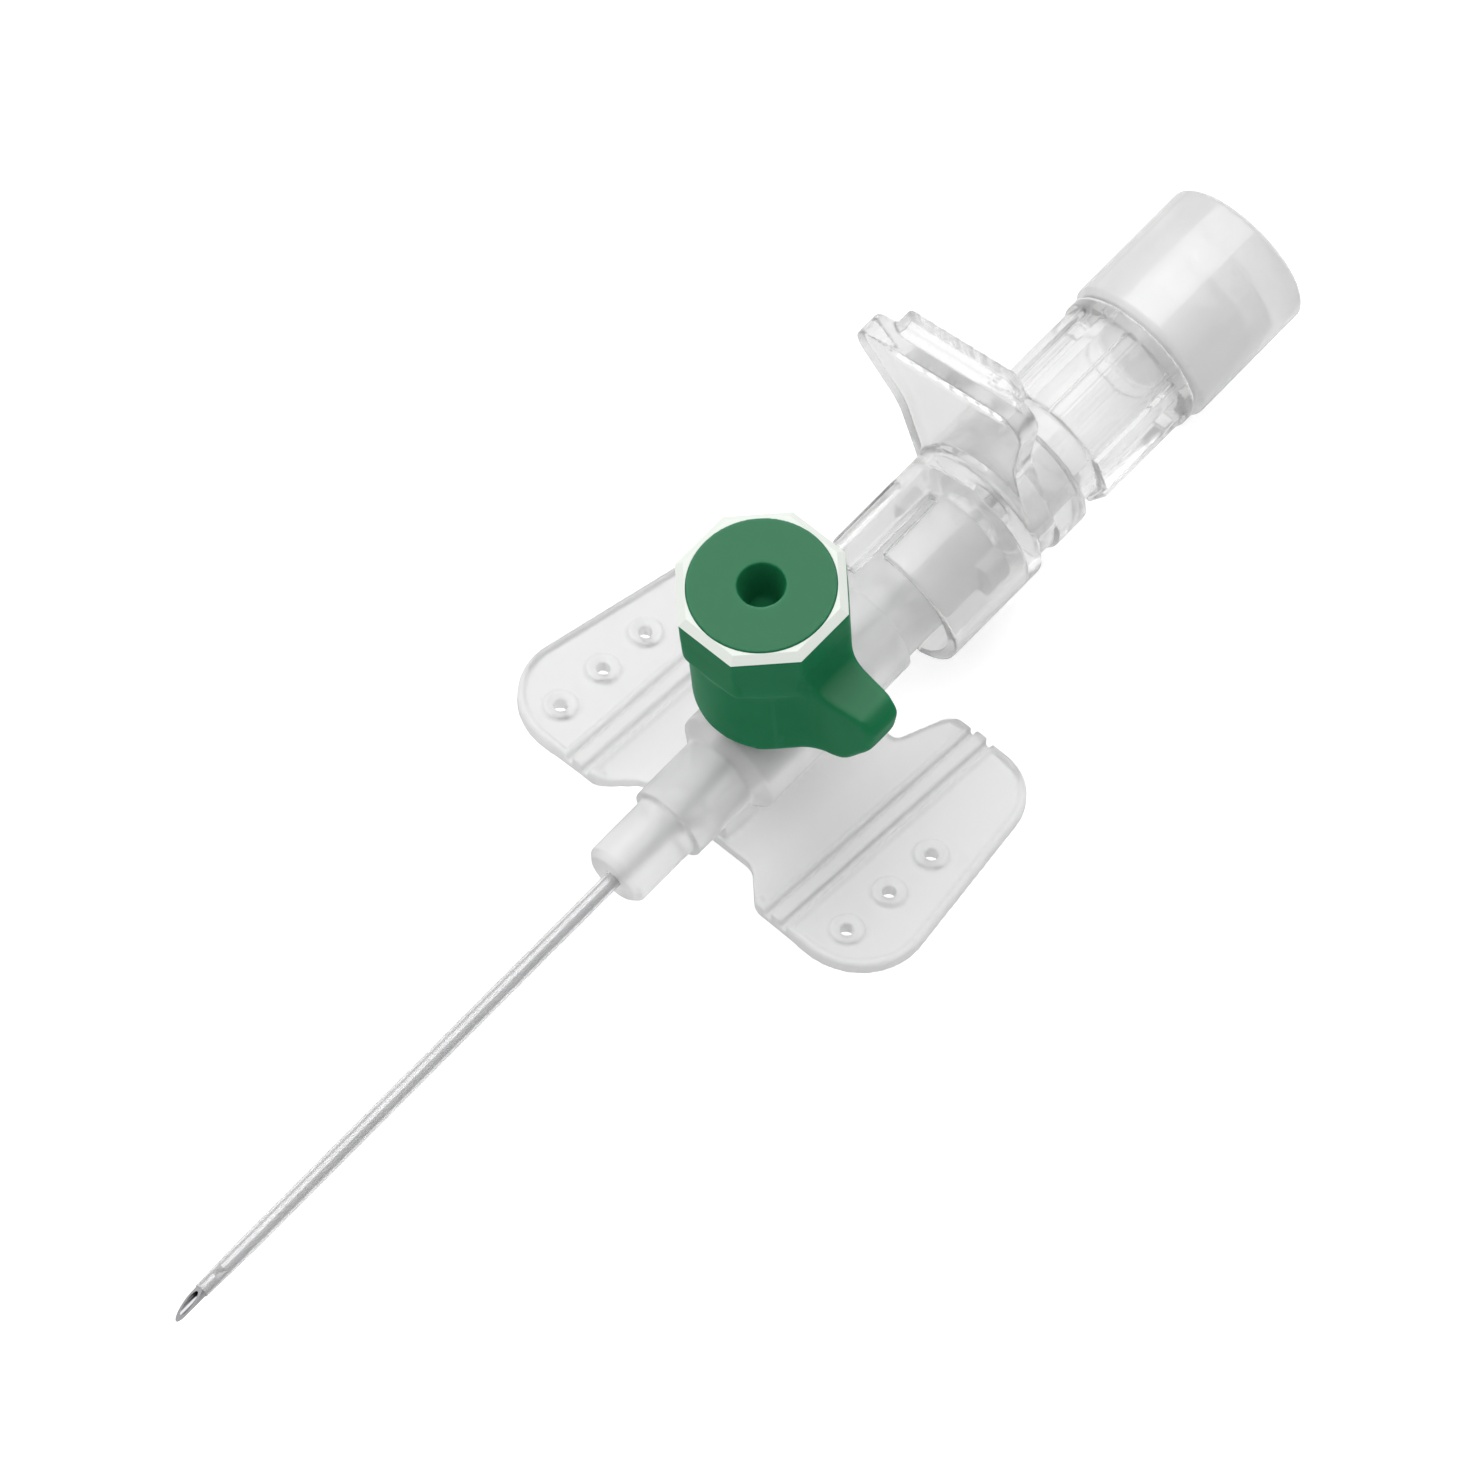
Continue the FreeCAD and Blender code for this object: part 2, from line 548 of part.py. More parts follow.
def catheter_hub():
    """The moulded hub: nose, barrel, port, rear luer socket with its lugs, keel and wings."""
    front_edge = bevelled("-dims.nose_reach", "dims.nose_radius", "dims.nose_bevel")
    barrel = turned("barrel", [("-dims.nose_reach", "0")] + front_edge + [
        ("-dims.nose_back", "dims.nose_radius"),
        ("-dims.nose_back", "dims.middle_radius"),
        ("-dims.middle_back - dims.middle_slope", "dims.middle_radius"),
        ("-dims.middle_back", "dims.barrel_radius"),
        ("dims.barrel_back", "dims.barrel_radius"),
        ("dims.barrel_back", "0"),
    ])
    rear = rod("rear_barrel", "0", "dims.hub_reach", "places.hub_rear_radius")
    lug_round = rod(
        "lug_round", "dims.hub_reach - dims.lug_length", "dims.hub_reach", "places.lug_radius")
    lug_bar = block(
        "lug_bar",
        ["0", "-places.lug_radius", "-dims.lug_width / 2"],
        ["dims.hub_reach", "places.lug_radius", "dims.lug_width / 2"])
    lugs = common("lugs", lug_round, lug_bar)
    chimney = post("chimney", "0", "dims.chimney_top", "places.chimney_radius")
    slant = math.tan(math.radians(dims("wing_pitch")))
    drop = dims("wing_drop")
    front = dims("keel_inset") - dims("root_front")
    back = dims("root_back") - dims("keel_inset")
    keel = prism("keel", [
        Vector(front, 0, 0),
        Vector(back, 0, 0),
        Vector(back, 0, -drop - slant * back),
        Vector(front, 0, -drop - slant * front),
    ], Y_AXIS, dims("keel_width") / 2)
    outside = fuse("hub_outside", barrel, rear, lugs, chimney, keel, wings())
    passage = turned("passage", [
        ("-dims.nose_reach - %s" % PAST, "0"),
        ("-dims.nose_reach - %s" % PAST, TUBE_OUTSIDE + " + dims.fit_gap"),
        ("-dims.nose_reach", TUBE_OUTSIDE + " + dims.fit_gap"),
        (SWELL_BACK, TUBE_HELD + " + dims.fit_gap"),
        (FLARE_FRONT, TUBE_HELD + " + dims.fit_gap"),
        ("-places.flare_back", "dims.flare_radius + dims.fit_gap"),
        ("dims.throat_length - places.flare_back", "dims.flare_radius + dims.fit_gap"),
        ("dims.throat_length - places.flare_back", "dims.chamber_radius"),
        ("dims.hub_reach - dims.luer_depth", "dims.chamber_radius"),
        ("dims.hub_reach - dims.luer_depth", "dims.luer_radius"),
        ("dims.hub_reach + %s" % PAST, "dims.luer_radius"),
        ("dims.hub_reach + %s" % PAST, "0"),
    ])
    socket = post(
        "port_socket", "dims.chimney_top - dims.port_depth", "dims.chimney_top + %s" % PAST,
        "dims.luer_radius")
    feed = post("port_feed_hole", "0", "dims.chimney_top", "dims.port_feed")
    node("catheter_hub", cut("hub", outside, passage, socket, feed))


def valve_sleeve():
    """The silicone sleeve that closes the port from inside."""
    outside = "dims.chamber_radius - dims.fit_gap"
    item = turned("sleeve", [
        ("-dims.sleeve_reach", outside + " - dims.sleeve_wall"),
        ("-dims.sleeve_reach", outside),
        ("dims.sleeve_reach", outside),
        ("dims.sleeve_reach", outside + " - dims.sleeve_wall"),
    ])
    node("valve_sleeve", item)


def cap_ring():
    """The ring round the foot of the port that keeps the cap, with the film hinge's bead."""
    lower_edge = bevelled("places.ring_bottom", "places.ring_radius", "dims.ring_bevel")
    lower = turned(
        "ring_turned", [("places.ring_bottom", "0")] + lower_edge
        + [("places.ring_top", "places.ring_radius"), ("places.ring_top", "0")], upright=True)
    lug = block(
        "hinge_lug",
        ["-dims.hinge_width / 2", "places.chimney_radius", "places.ring_top - dims.hinge_lug"],
        ["dims.hinge_width / 2", "places.hinge_offset", "places.ring_top"])
    bead = doc.addObject("Part::Cylinder", "hinge_bead")
    bead.Placement = Placement(Vector(), ALONG_X)
    bind(
        bead, Radius="dims.hinge_radius", Height="dims.hinge_width",
        Placement__Base__x="-dims.hinge_width / 2", Placement__Base__y="places.hinge_offset",
        Placement__Base__z="places.hinge_height")
    solid = fuse("ring_solid", lower, lug, bead)
    hole = post(
        "ring_hole", "0", "dims.chimney_top", "places.chimney_radius + dims.fit_gap")
    node("cap_ring", cut("ring", solid, hole))


def octagon(name, bottom, top):
    """An octagonal prism of the cap's head between two heights."""
    item = doc.addObject("Part::Prism", name)
    item.Polygon = 8
    item.Placement = Placement(Vector(), Rotation(Z_AXIS, 22.5))
    return bind(
        item, Circumradius="dims.head_flats / 2 / cos(22.5)", Height="(%s) - (%s)" % (top, bottom),
        Placement__Base__z=bottom)


def thumb_tab():
    """The beak that the thumb lifts: flat on top, rounded below, hollowed where it joins."""
    reach = dims("tab_reach")
    top = places("tab_top")
    foot = places("ring_top") + dims("part_gap")
    wall = places("bowl_radius")
    face = dims("head_flats") / 2
    stem = dims("stopper_radius")
    edge = dims("tab_edge")
    side_view = rounded_outline([
        (-stem, top + dims("tab_rise"), 0),
        (-face, top + dims("tab_rise"), 0),
        (-face - dims("tab_hollow"), top, dims("tab_hollow_round")),
        (-reach + dims("tab_slope"), top, edge),
        (-reach, top - dims("tab_lip"), edge),
        (-reach + dims("tab_chin_inset"), top - dims("tab_chin"), dims("tab_round")),
        (-wall - dims("tab_belly"), foot + dims("tab_belly_rise"), dims("tab_round")),
        (-stem, foot, 0),
    ], 4 * wall, "tab_side")
    side_view.Placement = Placement(Vector(-2 * wall, 0, 0), Rotation(Vector(1, 1, 1), 120))
    half = dims("tab_width") / 2
    root = dims("tab_root") / 2
    cheek = wall + dims("tab_cheek_out")
    # the plan widens into the bowl, where the bowl's own round hides its ends
    shoulder = (wall - dims("cap_wall"), wall / 2)
    plan = rounded_outline([
        (-shoulder[0], -stem, 0),
        (-shoulder[0], -shoulder[1], 0),
        (-root, -cheek, dims("tab_cheek")),
        (-half, -reach, edge),
        (half, -reach, edge),
        (root, -cheek, dims("tab_cheek")),
        (shoulder[0], -shoulder[1], 0),
        (shoulder[0], -stem, 0),
    ], places("disc_top"), "tab_plan")
    return common("tab", side_view, plan)


def port_cap():
    """The green cap: octagonal head, round bowl over the port, stopper and thumb tab."""
    foot = "places.ring_top + dims.part_gap"
    bowl = turned("bowl", [
        (foot, "0"),
        (foot, "places.bowl_radius - dims.bowl_round"),
        (foot + " + dims.bowl_lean", "places.bowl_radius - dims.bowl_lean"),
        (foot + " + dims.bowl_round", "places.bowl_radius"),
        ("places.head_bottom", "places.bowl_radius"),
        ("places.head_bottom", "0"),
    ], upright=True)
    head = octagon("head", "places.head_bottom", "places.rim_bottom")
    disc = post("disc", "places.rim_bottom", "places.disc_top", "places.disc_radius")
    outside = fuse("cap_outside", bowl, head, disc, thumb_tab())
    cavity = post("cap_cavity", "0", "places.ceiling", "places.bowl_radius - dims.cap_wall")
    dip = doc.addObject("Part::Cone", "dip")
    bind(
        dip, Radius1="dims.dip_floor", Radius2="dims.dip_radius", Height="dims.dip_depth",
        Placement__Base__z="places.disc_top - dims.dip_depth")
    shell = cut("cap_shell", outside, cavity)
    mouth = "dims.chimney_top + dims.part_gap"
    stem = turned("stopper", [
        (mouth, "0"),
        (mouth, "dims.stopper_radius"),
        ("places.ceiling + dims.part_gap", "dims.stopper_radius"),
        ("places.ceiling + dims.part_gap", "0"),
    ], upright=True)
    strap_foot = "places.hinge_height + dims.hinge_radius + dims.part_gap"
    strap = block(
        "hinge_strap",
        ["-dims.hinge_width / 2", "places.bowl_radius - dims.cap_wall / 2", strap_foot],
        ["dims.hinge_width / 2", "places.hinge_offset + dims.hinge_radius",
         strap_foot + " + dims.strap_height"])
    solid = fuse("cap_solid", shell, stem, strap)
    node("port_cap", cut("cap", solid, dip))


def cap_rim():
    """The pale bevelled rim let into the top of the head, round the disc."""
    low = places("rim_bottom")
    high = places("rim_top")
    outer = dims("head_flats") / 2 / math.cos(math.radians(22.5))
    inner = (places("disc_radius") + dims("rim_land")) / math.cos(math.radians(22.5))
    rings = []
    for radius, height in ((outer, low), (inner, high)):
        corners = []
        for index in range(9):
            angle = math.radians(22.5 + 45 * index)
            corners.append(Vector(radius * math.cos(angle), radius * math.sin(angle), height))
        ring = doc.addObject("Part::Feature", "rim_line")
        ring.Shape = Part.makePolygon(corners)
        rings.append(ring)
    bevel = doc.addObject("Part::Loft", "rim_bevel")
    bevel.Sections = rings
    bevel.Solid = True
    bevel.Ruled = True
    hole = post("rim_hole", "0", "places.disc_top", "places.disc_radius + dims.fit_gap")
    node("cap_rim", cut("rim", bevel, hole))


def needle():
    """The steel needle: a front stretch with its ground point and flash notch, and the shaft."""
    tip = dims("tip_reach")
    radius = dims("needle_radius")
    length = dims("bevel_length")
    grind = prism("grind", [
        Vector(-tip - PAST, 0, -radius - 2 * radius * PAST / length),
        Vector(-tip + length, 0, radius),
        Vector(-tip + length, 0, radius + PAST),
        Vector(-tip - PAST, 0, radius + PAST),
    ], Y_AXIS, 2 * radius)
    start = -tip + dims("notch_back")
    floor = radius - dims("notch_depth")
    notch = prism("notch", [
        Vector(start, 0, floor),
        Vector(start + dims("notch_length"), 0, floor),
        Vector(start + dims("notch_length"), 0, radius + PAST),
        Vector(start, 0, radius + PAST),
    ], Y_AXIS, 2 * radius)
    seam = "dims.point_length - dims.tip_reach"
    stretches = []
    for name, low, high, tools in (
            ("point", "-dims.tip_reach", seam, [grind, notch]),
            ("shaft", seam, "places.needle_end", [])):
        outside = rod(name + "_rod", low, high, "dims.needle_radius")
        bore = rod(name + "_bore", low, high, "dims.needle_bore")
        stretches.append(cut("needle_" + name, outside, bore, *tools))
    whole = fuse("needle_solid", *stretches)
    whole.Refine = False
    node("needle", whole, needle_set=True)


def finger_plate():
    """The upright plate that the finger pushes, with the ledge behind its top."""
    half = dims("plate_width") / 2
    waist = dims("plate_waist") / 2
    top = places("plate_height")
    side = [
        (waist, 0, 0),
        (waist, dims("plate_flare"), dims("plate_waist_round")),
        (half, dims("plate_shoulder"), dims("plate_shoulder_round")),
        (half, top, dims("plate_round")),
    ]
    mirrored = [(-y, z, radius) for y, z, radius in reversed(side)]
    plate = rounded_outline(side + mirrored, dims("plate_thick"), "plate_blank")
    plate.Placement = Placement(Vector(places("plate_front"), 0, 0), Rotation(Vector(1, 1, 1), 120))
    end = half - dims("lip_inset")
    crest = top + dims("lip_proud")
    ledge = rounded_outline([
        (end, top - dims("lip_height"), dims("lip_round") / 2),
        (end, crest, dims("lip_round")),
        (-end, crest, dims("lip_round")),
        (-end, top - dims("lip_height"), dims("lip_round") / 2),
    ], dims("lip_thick"), "ledge_blank")
    ledge.Placement = Placement(
        Vector(places("plate_front") + dims("plate_thick"), 0, 0), Rotation(Vector(1, 1, 1), 120))
    return plate, ledge


def needle_hub():
    """The clear hub of the needle: male taper, collar with ears, finger plate, flash chamber."""
    inner = "places.collar_radius - dims.collar_wall"
    skirt = rod("skirt", "places.collar_front", "places.plate_front", "places.collar_radius")
    ears = []
    slots = []
    for side in (1, -1):
        turn = side * dims("ear_turn")
        ears.append(sector(
            "ear", "places.collar_front - dims.ear_reach", "places.collar_back", "places.collar_radius",
            turn, dims("ear_angle")))
        for edge in (1, -1):
            slots.append(sector(
                "slot", "places.collar_front", "places.collar_front + dims.slot_length",
                "places.collar_radius + %s" % PAST,
                turn + edge * (dims("ear_angle") + dims("slot_angle")) / 2,
                dims("slot_angle")))
    hollow = rod("skirt_hollow", "0", "places.collar_back", inner)
    shell = cut("collar", fuse("collar_blank", skirt, *ears), hollow, *slots)
    taper = turned("taper", [
        ("places.taper_front", "0"),
        ("places.taper_front", "dims.luer_radius - dims.seat_gap - dims.taper_fall"),
        ("places.taper_front + dims.taper_lead", "dims.luer_radius - dims.seat_gap"),
        ("places.plate_front", "dims.luer_radius - dims.seat_gap"),
        ("places.plate_front", "0"),
    ])
    barrel = rod("flash_barrel", "places.plate_front", "places.flange_back", "places.barrel_clear")
    flange = rod("flange", "places.flange_front", "places.flange_back", "places.flange_radius")
    plate, ledge = finger_plate()
    outside = fuse("needle_hub_outside", shell, taper, barrel, flange, plate, ledge)
    bore = rod("glue_bore", "0", "places.flange_back", "dims.needle_radius + dims.fit_gap")
    throat = rod(
        "throat", "places.taper_front + dims.glue_length", "places.flange_back",
        "dims.luer_radius - dims.seat_gap - dims.taper_wall")
    chamber = rod(
        "flash_chamber", "places.chamber_start", "places.flange_back + %s" % PAST,
        "dims.chamber_clear")
    node("needle_hub", cut("needle_hub_solid", outside, bore, throat, chamber), needle_set=True)


def flash_plug():
    """The clear vented plug: spigot, neck, ribbed grip, bead and the stub for the tail cap."""
    spigot = "dims.chamber_clear - dims.seat_gap"
    shoulder = "places.flange_back + dims.part_gap"
    blank = turned("plug_blank", [
        ("places.flange_back - dims.plug_seat", "dims.plug_bore"),
        ("places.flange_back - dims.plug_seat", spigot),
        (shoulder, spigot),
        (shoulder, "places.neck_radius"),
        ("places.grip_front", "places.neck_radius"),
        ("places.grip_front", "dims.grip_radius"),
        ("places.grip_back", "dims.grip_radius"),
        ("places.grip_back", "places.bead_radius"),
        ("places.bead_back", "places.bead_radius"),
        ("places.bead_back", "dims.stub_radius"),
        ("places.stub_back", "dims.stub_radius"),
        ("places.stub_back", "dims.plug_bore / 2"),
        ("places.filter_back", "dims.plug_bore / 2"),
        ("places.filter_back", "dims.plug_bore"),
    ])
    ribs = []
    count = int(dims("rib_count"))
    for index in range(count):
        rib = block(
            "grip_rib",
            ["places.grip_front", "-dims.rib_width / 2", "places.neck_radius - dims.rib_height"],
            ["places.grip_back", "dims.rib_width / 2", "dims.grip_radius + dims.rib_height"])
        turn = Rotation(X_AXIS, 360.0 * index / count)
        rib.setExpression("Placement.Base.y", None)
        rib.setExpression("Placement.Base.z", None)
        foot = Vector(0, -dims("rib_width") / 2, places("neck_radius") - dims("rib_height"))
        corner = turn.multVec(foot)
        rib.Placement = Placement(Vector(places("grip_front"), corner.y, corner.z), turn)
        ribs.append(rib)
    node("flash_plug", fuse("plug", blank, *ribs), needle_set=True)


def vent_filter():
    """The porous disc that lets air out of the flash chamber."""
    edge = "dims.plug_bore - dims.fit_gap"
    item = turned("filter_disc", [
        ("places.filter_back - dims.filter_thick", "0"),
        ("places.filter_back - dims.filter_thick", edge),
        ("places.filter_back", edge),
        ("places.filter_back", "0"),
    ])
    node("vent_filter", item, needle_set=True)


def tail_cap():
    """The milky closed cap pressed over the plug's stub."""
    shoulder = bevelled("places.tail_front", "places.tail_radius", "dims.tail_shoulder")
    blank = turned("tail_blank", [("places.tail_front", "0")] + shoulder + [
        ("places.tail_reach - dims.tail_edge", "places.tail_radius"),
        ("places.tail_reach", "places.tail_radius - dims.tail_edge"),
        ("places.tail_reach", "0"),
    ])
    socket = rod(
        "tail_socket", "0", "places.tail_reach - dims.tail_floor", "dims.stub_radius + dims.seat_gap")
    node("tail_cap", cut("tail", blank, socket), needle_set=True)


catheter_tube()
tube_eyelet()
catheter_hub()
valve_sleeve()
cap_ring()
port_cap()
cap_rim()
needle()
needle_hub()
flash_plug()
vent_filter()
tail_cap()

doc.recompute()
for item in doc.Objects:
    if "Invalid" in item.State or "Error" in item.State:
        raise RuntimeError("object %s is %s" % (item.Name, item.State))
os.makedirs("parts", exist_ok=True)
for name, item in NODES:
    shape = item.Shape
    if shape.isNull() or not shape.isValid():
        raise RuntimeError("the shape of %s is not valid" % name)
    shape.exportStep("parts/%s.step" % name)
    print("%-14s solids %d volume %.2f box %s" % (name, len(shape.Solids), shape.Volume, shape.BoundBox))
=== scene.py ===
"""Looks of a winged intravenous cannula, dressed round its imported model.

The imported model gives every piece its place. This script lays finer mouldings over the plain
solids, gives each piece its finish, and sets up the studio and the camera.
"""
import logging
import math
from dataclasses import dataclass, field, replace
from enum import Enum

import bmesh
import bpy
from mathutils import Matrix, Vector


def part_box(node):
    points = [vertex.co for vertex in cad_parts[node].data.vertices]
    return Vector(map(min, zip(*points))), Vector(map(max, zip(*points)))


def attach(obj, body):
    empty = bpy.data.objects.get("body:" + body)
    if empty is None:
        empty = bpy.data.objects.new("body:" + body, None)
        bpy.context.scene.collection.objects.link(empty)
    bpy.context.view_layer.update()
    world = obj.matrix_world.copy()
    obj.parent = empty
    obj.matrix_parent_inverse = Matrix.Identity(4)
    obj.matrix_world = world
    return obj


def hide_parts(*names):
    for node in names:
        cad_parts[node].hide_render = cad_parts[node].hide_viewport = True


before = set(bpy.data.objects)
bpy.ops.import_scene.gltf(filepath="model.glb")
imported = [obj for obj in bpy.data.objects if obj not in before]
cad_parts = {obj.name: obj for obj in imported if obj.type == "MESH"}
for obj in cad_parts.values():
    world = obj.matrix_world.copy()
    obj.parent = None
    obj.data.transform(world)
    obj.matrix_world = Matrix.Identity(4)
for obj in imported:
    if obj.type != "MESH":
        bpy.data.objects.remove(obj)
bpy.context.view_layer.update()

LOG = logging.getLogger("cannula")
MM = 0.001

# How close two corners of a solid's mesh are to count as one, in metres
MERGE_DISTANCE = 1e-6

# How alike two directions are to count as parallel, and how far apart two sheets lie, in millimetres
PARALLEL = 0.9999
SHEET_STEP = 0.1

# Sockets of a Mix node for colours, by number
MIX_SHARE, MIX_FIRST, MIX_SECOND, MIX_RESULT = 0, 6, 7, 2

# Mean of a noise, the levels between which a cloud fades, and the pointiness that shows an edge
NOISE_MEAN = 0.5
CLOUD_FADE = (0.35, 0.65)
EDGE_FADE = (0.52, 0.62)

# How far one smoothing pass moves a corner towards the middle of its neighbours
SMOOTH_SHARE = 0.5

# Corners of a bead's section and of a ring
BEAD_SIDES = 10
RING_SIDES = 48


class Body(Enum):
    """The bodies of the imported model."""

    CATHETER = "catheter"
    CAP = "cap"
    NEEDLE_SET = "needle_set"
    PLUG = "plug"
    TAIL = "tail"


class Slot(Enum):
    """The material slots of the record, one named for each moulding; nothing in this script reads them."""

    MILKY = "milky_plastic"
    CLEAR = "clear_plastic"
    GREEN = "green_plastic"


def grey(level: float) -> tuple[float, float, float]:
    """Return a neutral colour."""
    return (level, level, level)


def port_centre() -> Vector:
    """Return the point where the port axis meets the needle axis, from the boxes of two nodes."""
    tube_low, tube_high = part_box("catheter_tube")
    rim_low, rim_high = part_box("cap_rim")
    return Vector((
        (rim_low[0] + rim_high[0]) / 2.0, (tube_low[1] + tube_high[1]) / 2.0,
        (tube_low[2] + tube_high[2]) / 2.0))


# Node trees


@dataclass
class Wiring:
    """A node tree under construction."""

    tree: bpy.types.NodeTree

    def add(self, kind: str, **settings: object) -> bpy.types.Node:
        """Add a node.

        Args:
            kind: Blender's name of the node type.
            settings: Properties of the node, set by name.

        Returns:
            The new node.
        """
        made = self.tree.nodes.new(kind)
        for name, value in settings.items():
            setattr(made, name, value)
        return made

    def join(self, value: object, socket: bpy.types.NodeSocket) -> None:
        """Link an output to an input socket, or set the socket to a plain value."""
        if isinstance(value, bpy.types.NodeSocket):
            self.tree.links.new(value, socket)
        else:
            socket.default_value = value

    def feed(self, node: bpy.types.Node, **values: object) -> bpy.types.Node:
        """Set or link input sockets; an underscore in a name stands for a space.

        Args:
            node: The node to feed.
            values: Socket names with a value or an output socket.

        Returns:
            The same node.
        """
        for name, value in values.items():
            self.join(value, node.inputs[name.replace("_", " ")])
        return node

    def math(self, operation: str, first: object, second: object = 0.0) -> bpy.types.NodeSocket:
        """Return the output of a Math node with two operands."""
        made = self.add("ShaderNodeMath", operation=operation)
        for socket, value in zip(made.inputs, (first, second)):
            self.join(value, socket)
        return made.outputs[0]

    def blend(self, share: object, first: object, second: object) -> bpy.types.NodeSocket:
        """Return a colour mixed from two by a share."""
        made = self.add("ShaderNodeMix", data_type="RGBA")
        for index, value in ((MIX_SHARE, share), (MIX_FIRST, first), (MIX_SECOND, second)):
            self.join(value, made.inputs[index])
        return made.outputs[MIX_RESULT]


def open_group(
    name: str, inputs: list[tuple[str, str, object]], outputs: list[tuple[str, str]],
    kind: str = "ShaderNodeTree",
) -> tuple[bpy.types.NodeTree, Wiring, bpy.types.Node, bpy.types.Node]:
    """Start a node group.

    Args:
        name: Name of the group.
        inputs: Name, socket type and default of each input.
        outputs: Name and socket type of each output.
        kind: Blender's name of the tree type.

    Returns:
        The tree, its wiring, its input node and its output node.
    """
    tree = bpy.data.node_groups.new(name, kind)
    for label, socket_type, default in inputs:
        socket = tree.interface.new_socket(name=label, in_out="INPUT", socket_type=socket_type)
        if default is not None:
            socket.default_value = default
    for label, socket_type in outputs:
        tree.interface.new_socket(name=label, in_out="OUTPUT", socket_type=socket_type)
    wiring = Wiring(tree)
    return tree, wiring, wiring.add("NodeGroupInput"), wiring.add("NodeGroupOutput")


def open_material(name: str) -> tuple[bpy.types.Material, Wiring, bpy.types.Node]:
    """Start a material.

    Args:
        name: Name of the material.

    Returns:
        The material, its wiring and its Principled shader.
    """
    made = bpy.data.materials.new(name)
    made.use_nodes = True
    return made, Wiring(made.node_tree), made.node_tree.nodes["Principled BSDF"]


def moulding_group() -> bpy.types.NodeTree:
    """Build the group for moulded plastic: cloudy colour, satin patches and a fine grain.

    Returns:
        The node group.
    """
    tree, wiring, given, result = open_group(
        "moulding_marks",
        [
            ("Tint", "NodeSocketColor", (*grey(0.8), 1.0)),
            ("Deep", "NodeSocketColor", (*grey(0.7), 1.0)),
            ("Cloud Scale", "NodeSocketFloat", 160.0),
            ("Grain Scale", "NodeSocketFloat", 4000.0),
            ("Roughness", "NodeSocketFloat", 0.3),
            ("Patchiness", "NodeSocketFloat", 0.08),
        ],
        [("Color", "NodeSocketColor"), ("Roughness", "NodeSocketFloat"), ("Height", "NodeSocketFloat")],
    )
    place = wiring.add("ShaderNodeTexCoord")
    cloud = wiring.add("ShaderNodeTexNoise")
    wiring.feed(cloud, Vector=place.outputs["Object"], Scale=given.outputs["Cloud Scale"], Detail=3.0)
    grain = wiring.add("ShaderNodeTexNoise")
    wiring.feed(grain, Vector=place.outputs["Object"], Scale=given.outputs["Grain Scale"], Detail=2.0)
    tone = wiring.add("ShaderNodeMapRange")
    faint, full = CLOUD_FADE
    wiring.feed(tone, Value=cloud.outputs[0], From_Min=faint, From_Max=full)
    colour = wiring.blend(tone.outputs[0], given.outputs["Tint"], given.outputs["Deep"])
    swing = wiring.math("SUBTRACT", cloud.outputs[0], NOISE_MEAN)
    patch = wiring.math("MULTIPLY", swing, given.outputs["Patchiness"])
    rough = wiring.math("ADD", given.outputs["Roughness"], patch)
    wiring.feed(result, Color=colour, Roughness=rough, Height=grain.outputs[0])
    return tree


def painted_edge_group() -> bpy.types.NodeTree:
    """Build the group that finds raised edges and lays the edge colour there: a painted highlight where it
    is lighter, painted shade where it is darker.

    Returns:
        The node group.
    """
    tree, wiring, given, result = open_group(
        "painted_edge_light",
        [
            ("Color", "NodeSocketColor", (*grey(0.5), 1.0)),
            ("Edge Color", "NodeSocketColor", (*grey(0.8), 1.0)),
            ("Amount", "NodeSocketFloat", 0.4),
        ],
        [("Color", "NodeSocketColor"), ("Mask", "NodeSocketFloat")],
    )
    # Raised edges are found by pointiness; the edge colour laid there is a painted highlight or painted
    # shade.
    shape = wiring.add("ShaderNodeNewGeometry")
    edge = wiring.add("ShaderNodeMapRange")
    faint, full = EDGE_FADE
    wiring.feed(edge, Value=shape.outputs["Pointiness"], From_Min=faint, From_Max=full)
    mask = wiring.math("MULTIPLY", edge.outputs[0], given.outputs["Amount"])
    colour = wiring.blend(mask, given.outputs["Color"], given.outputs["Edge Color"])
    wiring.feed(result, Color=colour, Mask=mask)
    return tree


def top_light_group() -> bpy.types.NodeTree:
    """Build the group that lightens the faces which look up: painted light, as if lit from above.

    The floor of the well round the port axis stays as it is.

    Returns:
        The node group.
    """
    centre = port_centre()
    flat = (1.0, 1.0, 0.0)
    tree, wiring, given, result = open_group(
        "painted_top_light",
        [
            ("Color", "NodeSocketColor", (*grey(0.5), 1.0)),
            ("Crown Color", "NodeSocketColor", (*grey(0.6), 1.0)),
            ("Upright", "NodeSocketFloat", 0.6),
            ("Axis", "NodeSocketVector", (centre.x, centre.y, 0.0)),
            ("Well Radius", "NodeSocketFloat", 0.0015),
        ],
        [("Color", "NodeSocketColor")],
    )
    place = wiring.add("ShaderNodeTexCoord")
    parts = wiring.add("ShaderNodeSeparateXYZ")
    wiring.feed(parts, Vector=place.outputs["Normal"])
    share = wiring.add("ShaderNodeMapRange")
    wiring.feed(share, Value=parts.outputs["Z"], From_Min=given.outputs["Upright"], From_Max=1.0)
    spot = wiring.add("ShaderNodeVectorMath", operation="MULTIPLY")
    wiring.join(place.outputs["Object"], spot.inputs[0])
    wiring.join(flat, spot.inputs[1])
    reach = wiring.add("ShaderNodeVectorMath", operation="DISTANCE")
    wiring.join(spot.outputs[0], reach.inputs[0])
    wiring.join(given.outputs["Axis"], reach.inputs[1])
    outside = wiring.math("GREATER_THAN", reach.outputs["Value"], given.outputs["Well Radius"])
    # Painted top light, kept off the floor of the well.
    top_share = wiring.math("MULTIPLY", share.outputs[0], outside)
    colour = wiring.blend(top_share, given.outputs["Color"], given.outputs["Crown Color"])
    wiring.feed(result, Color=colour)
    return tree


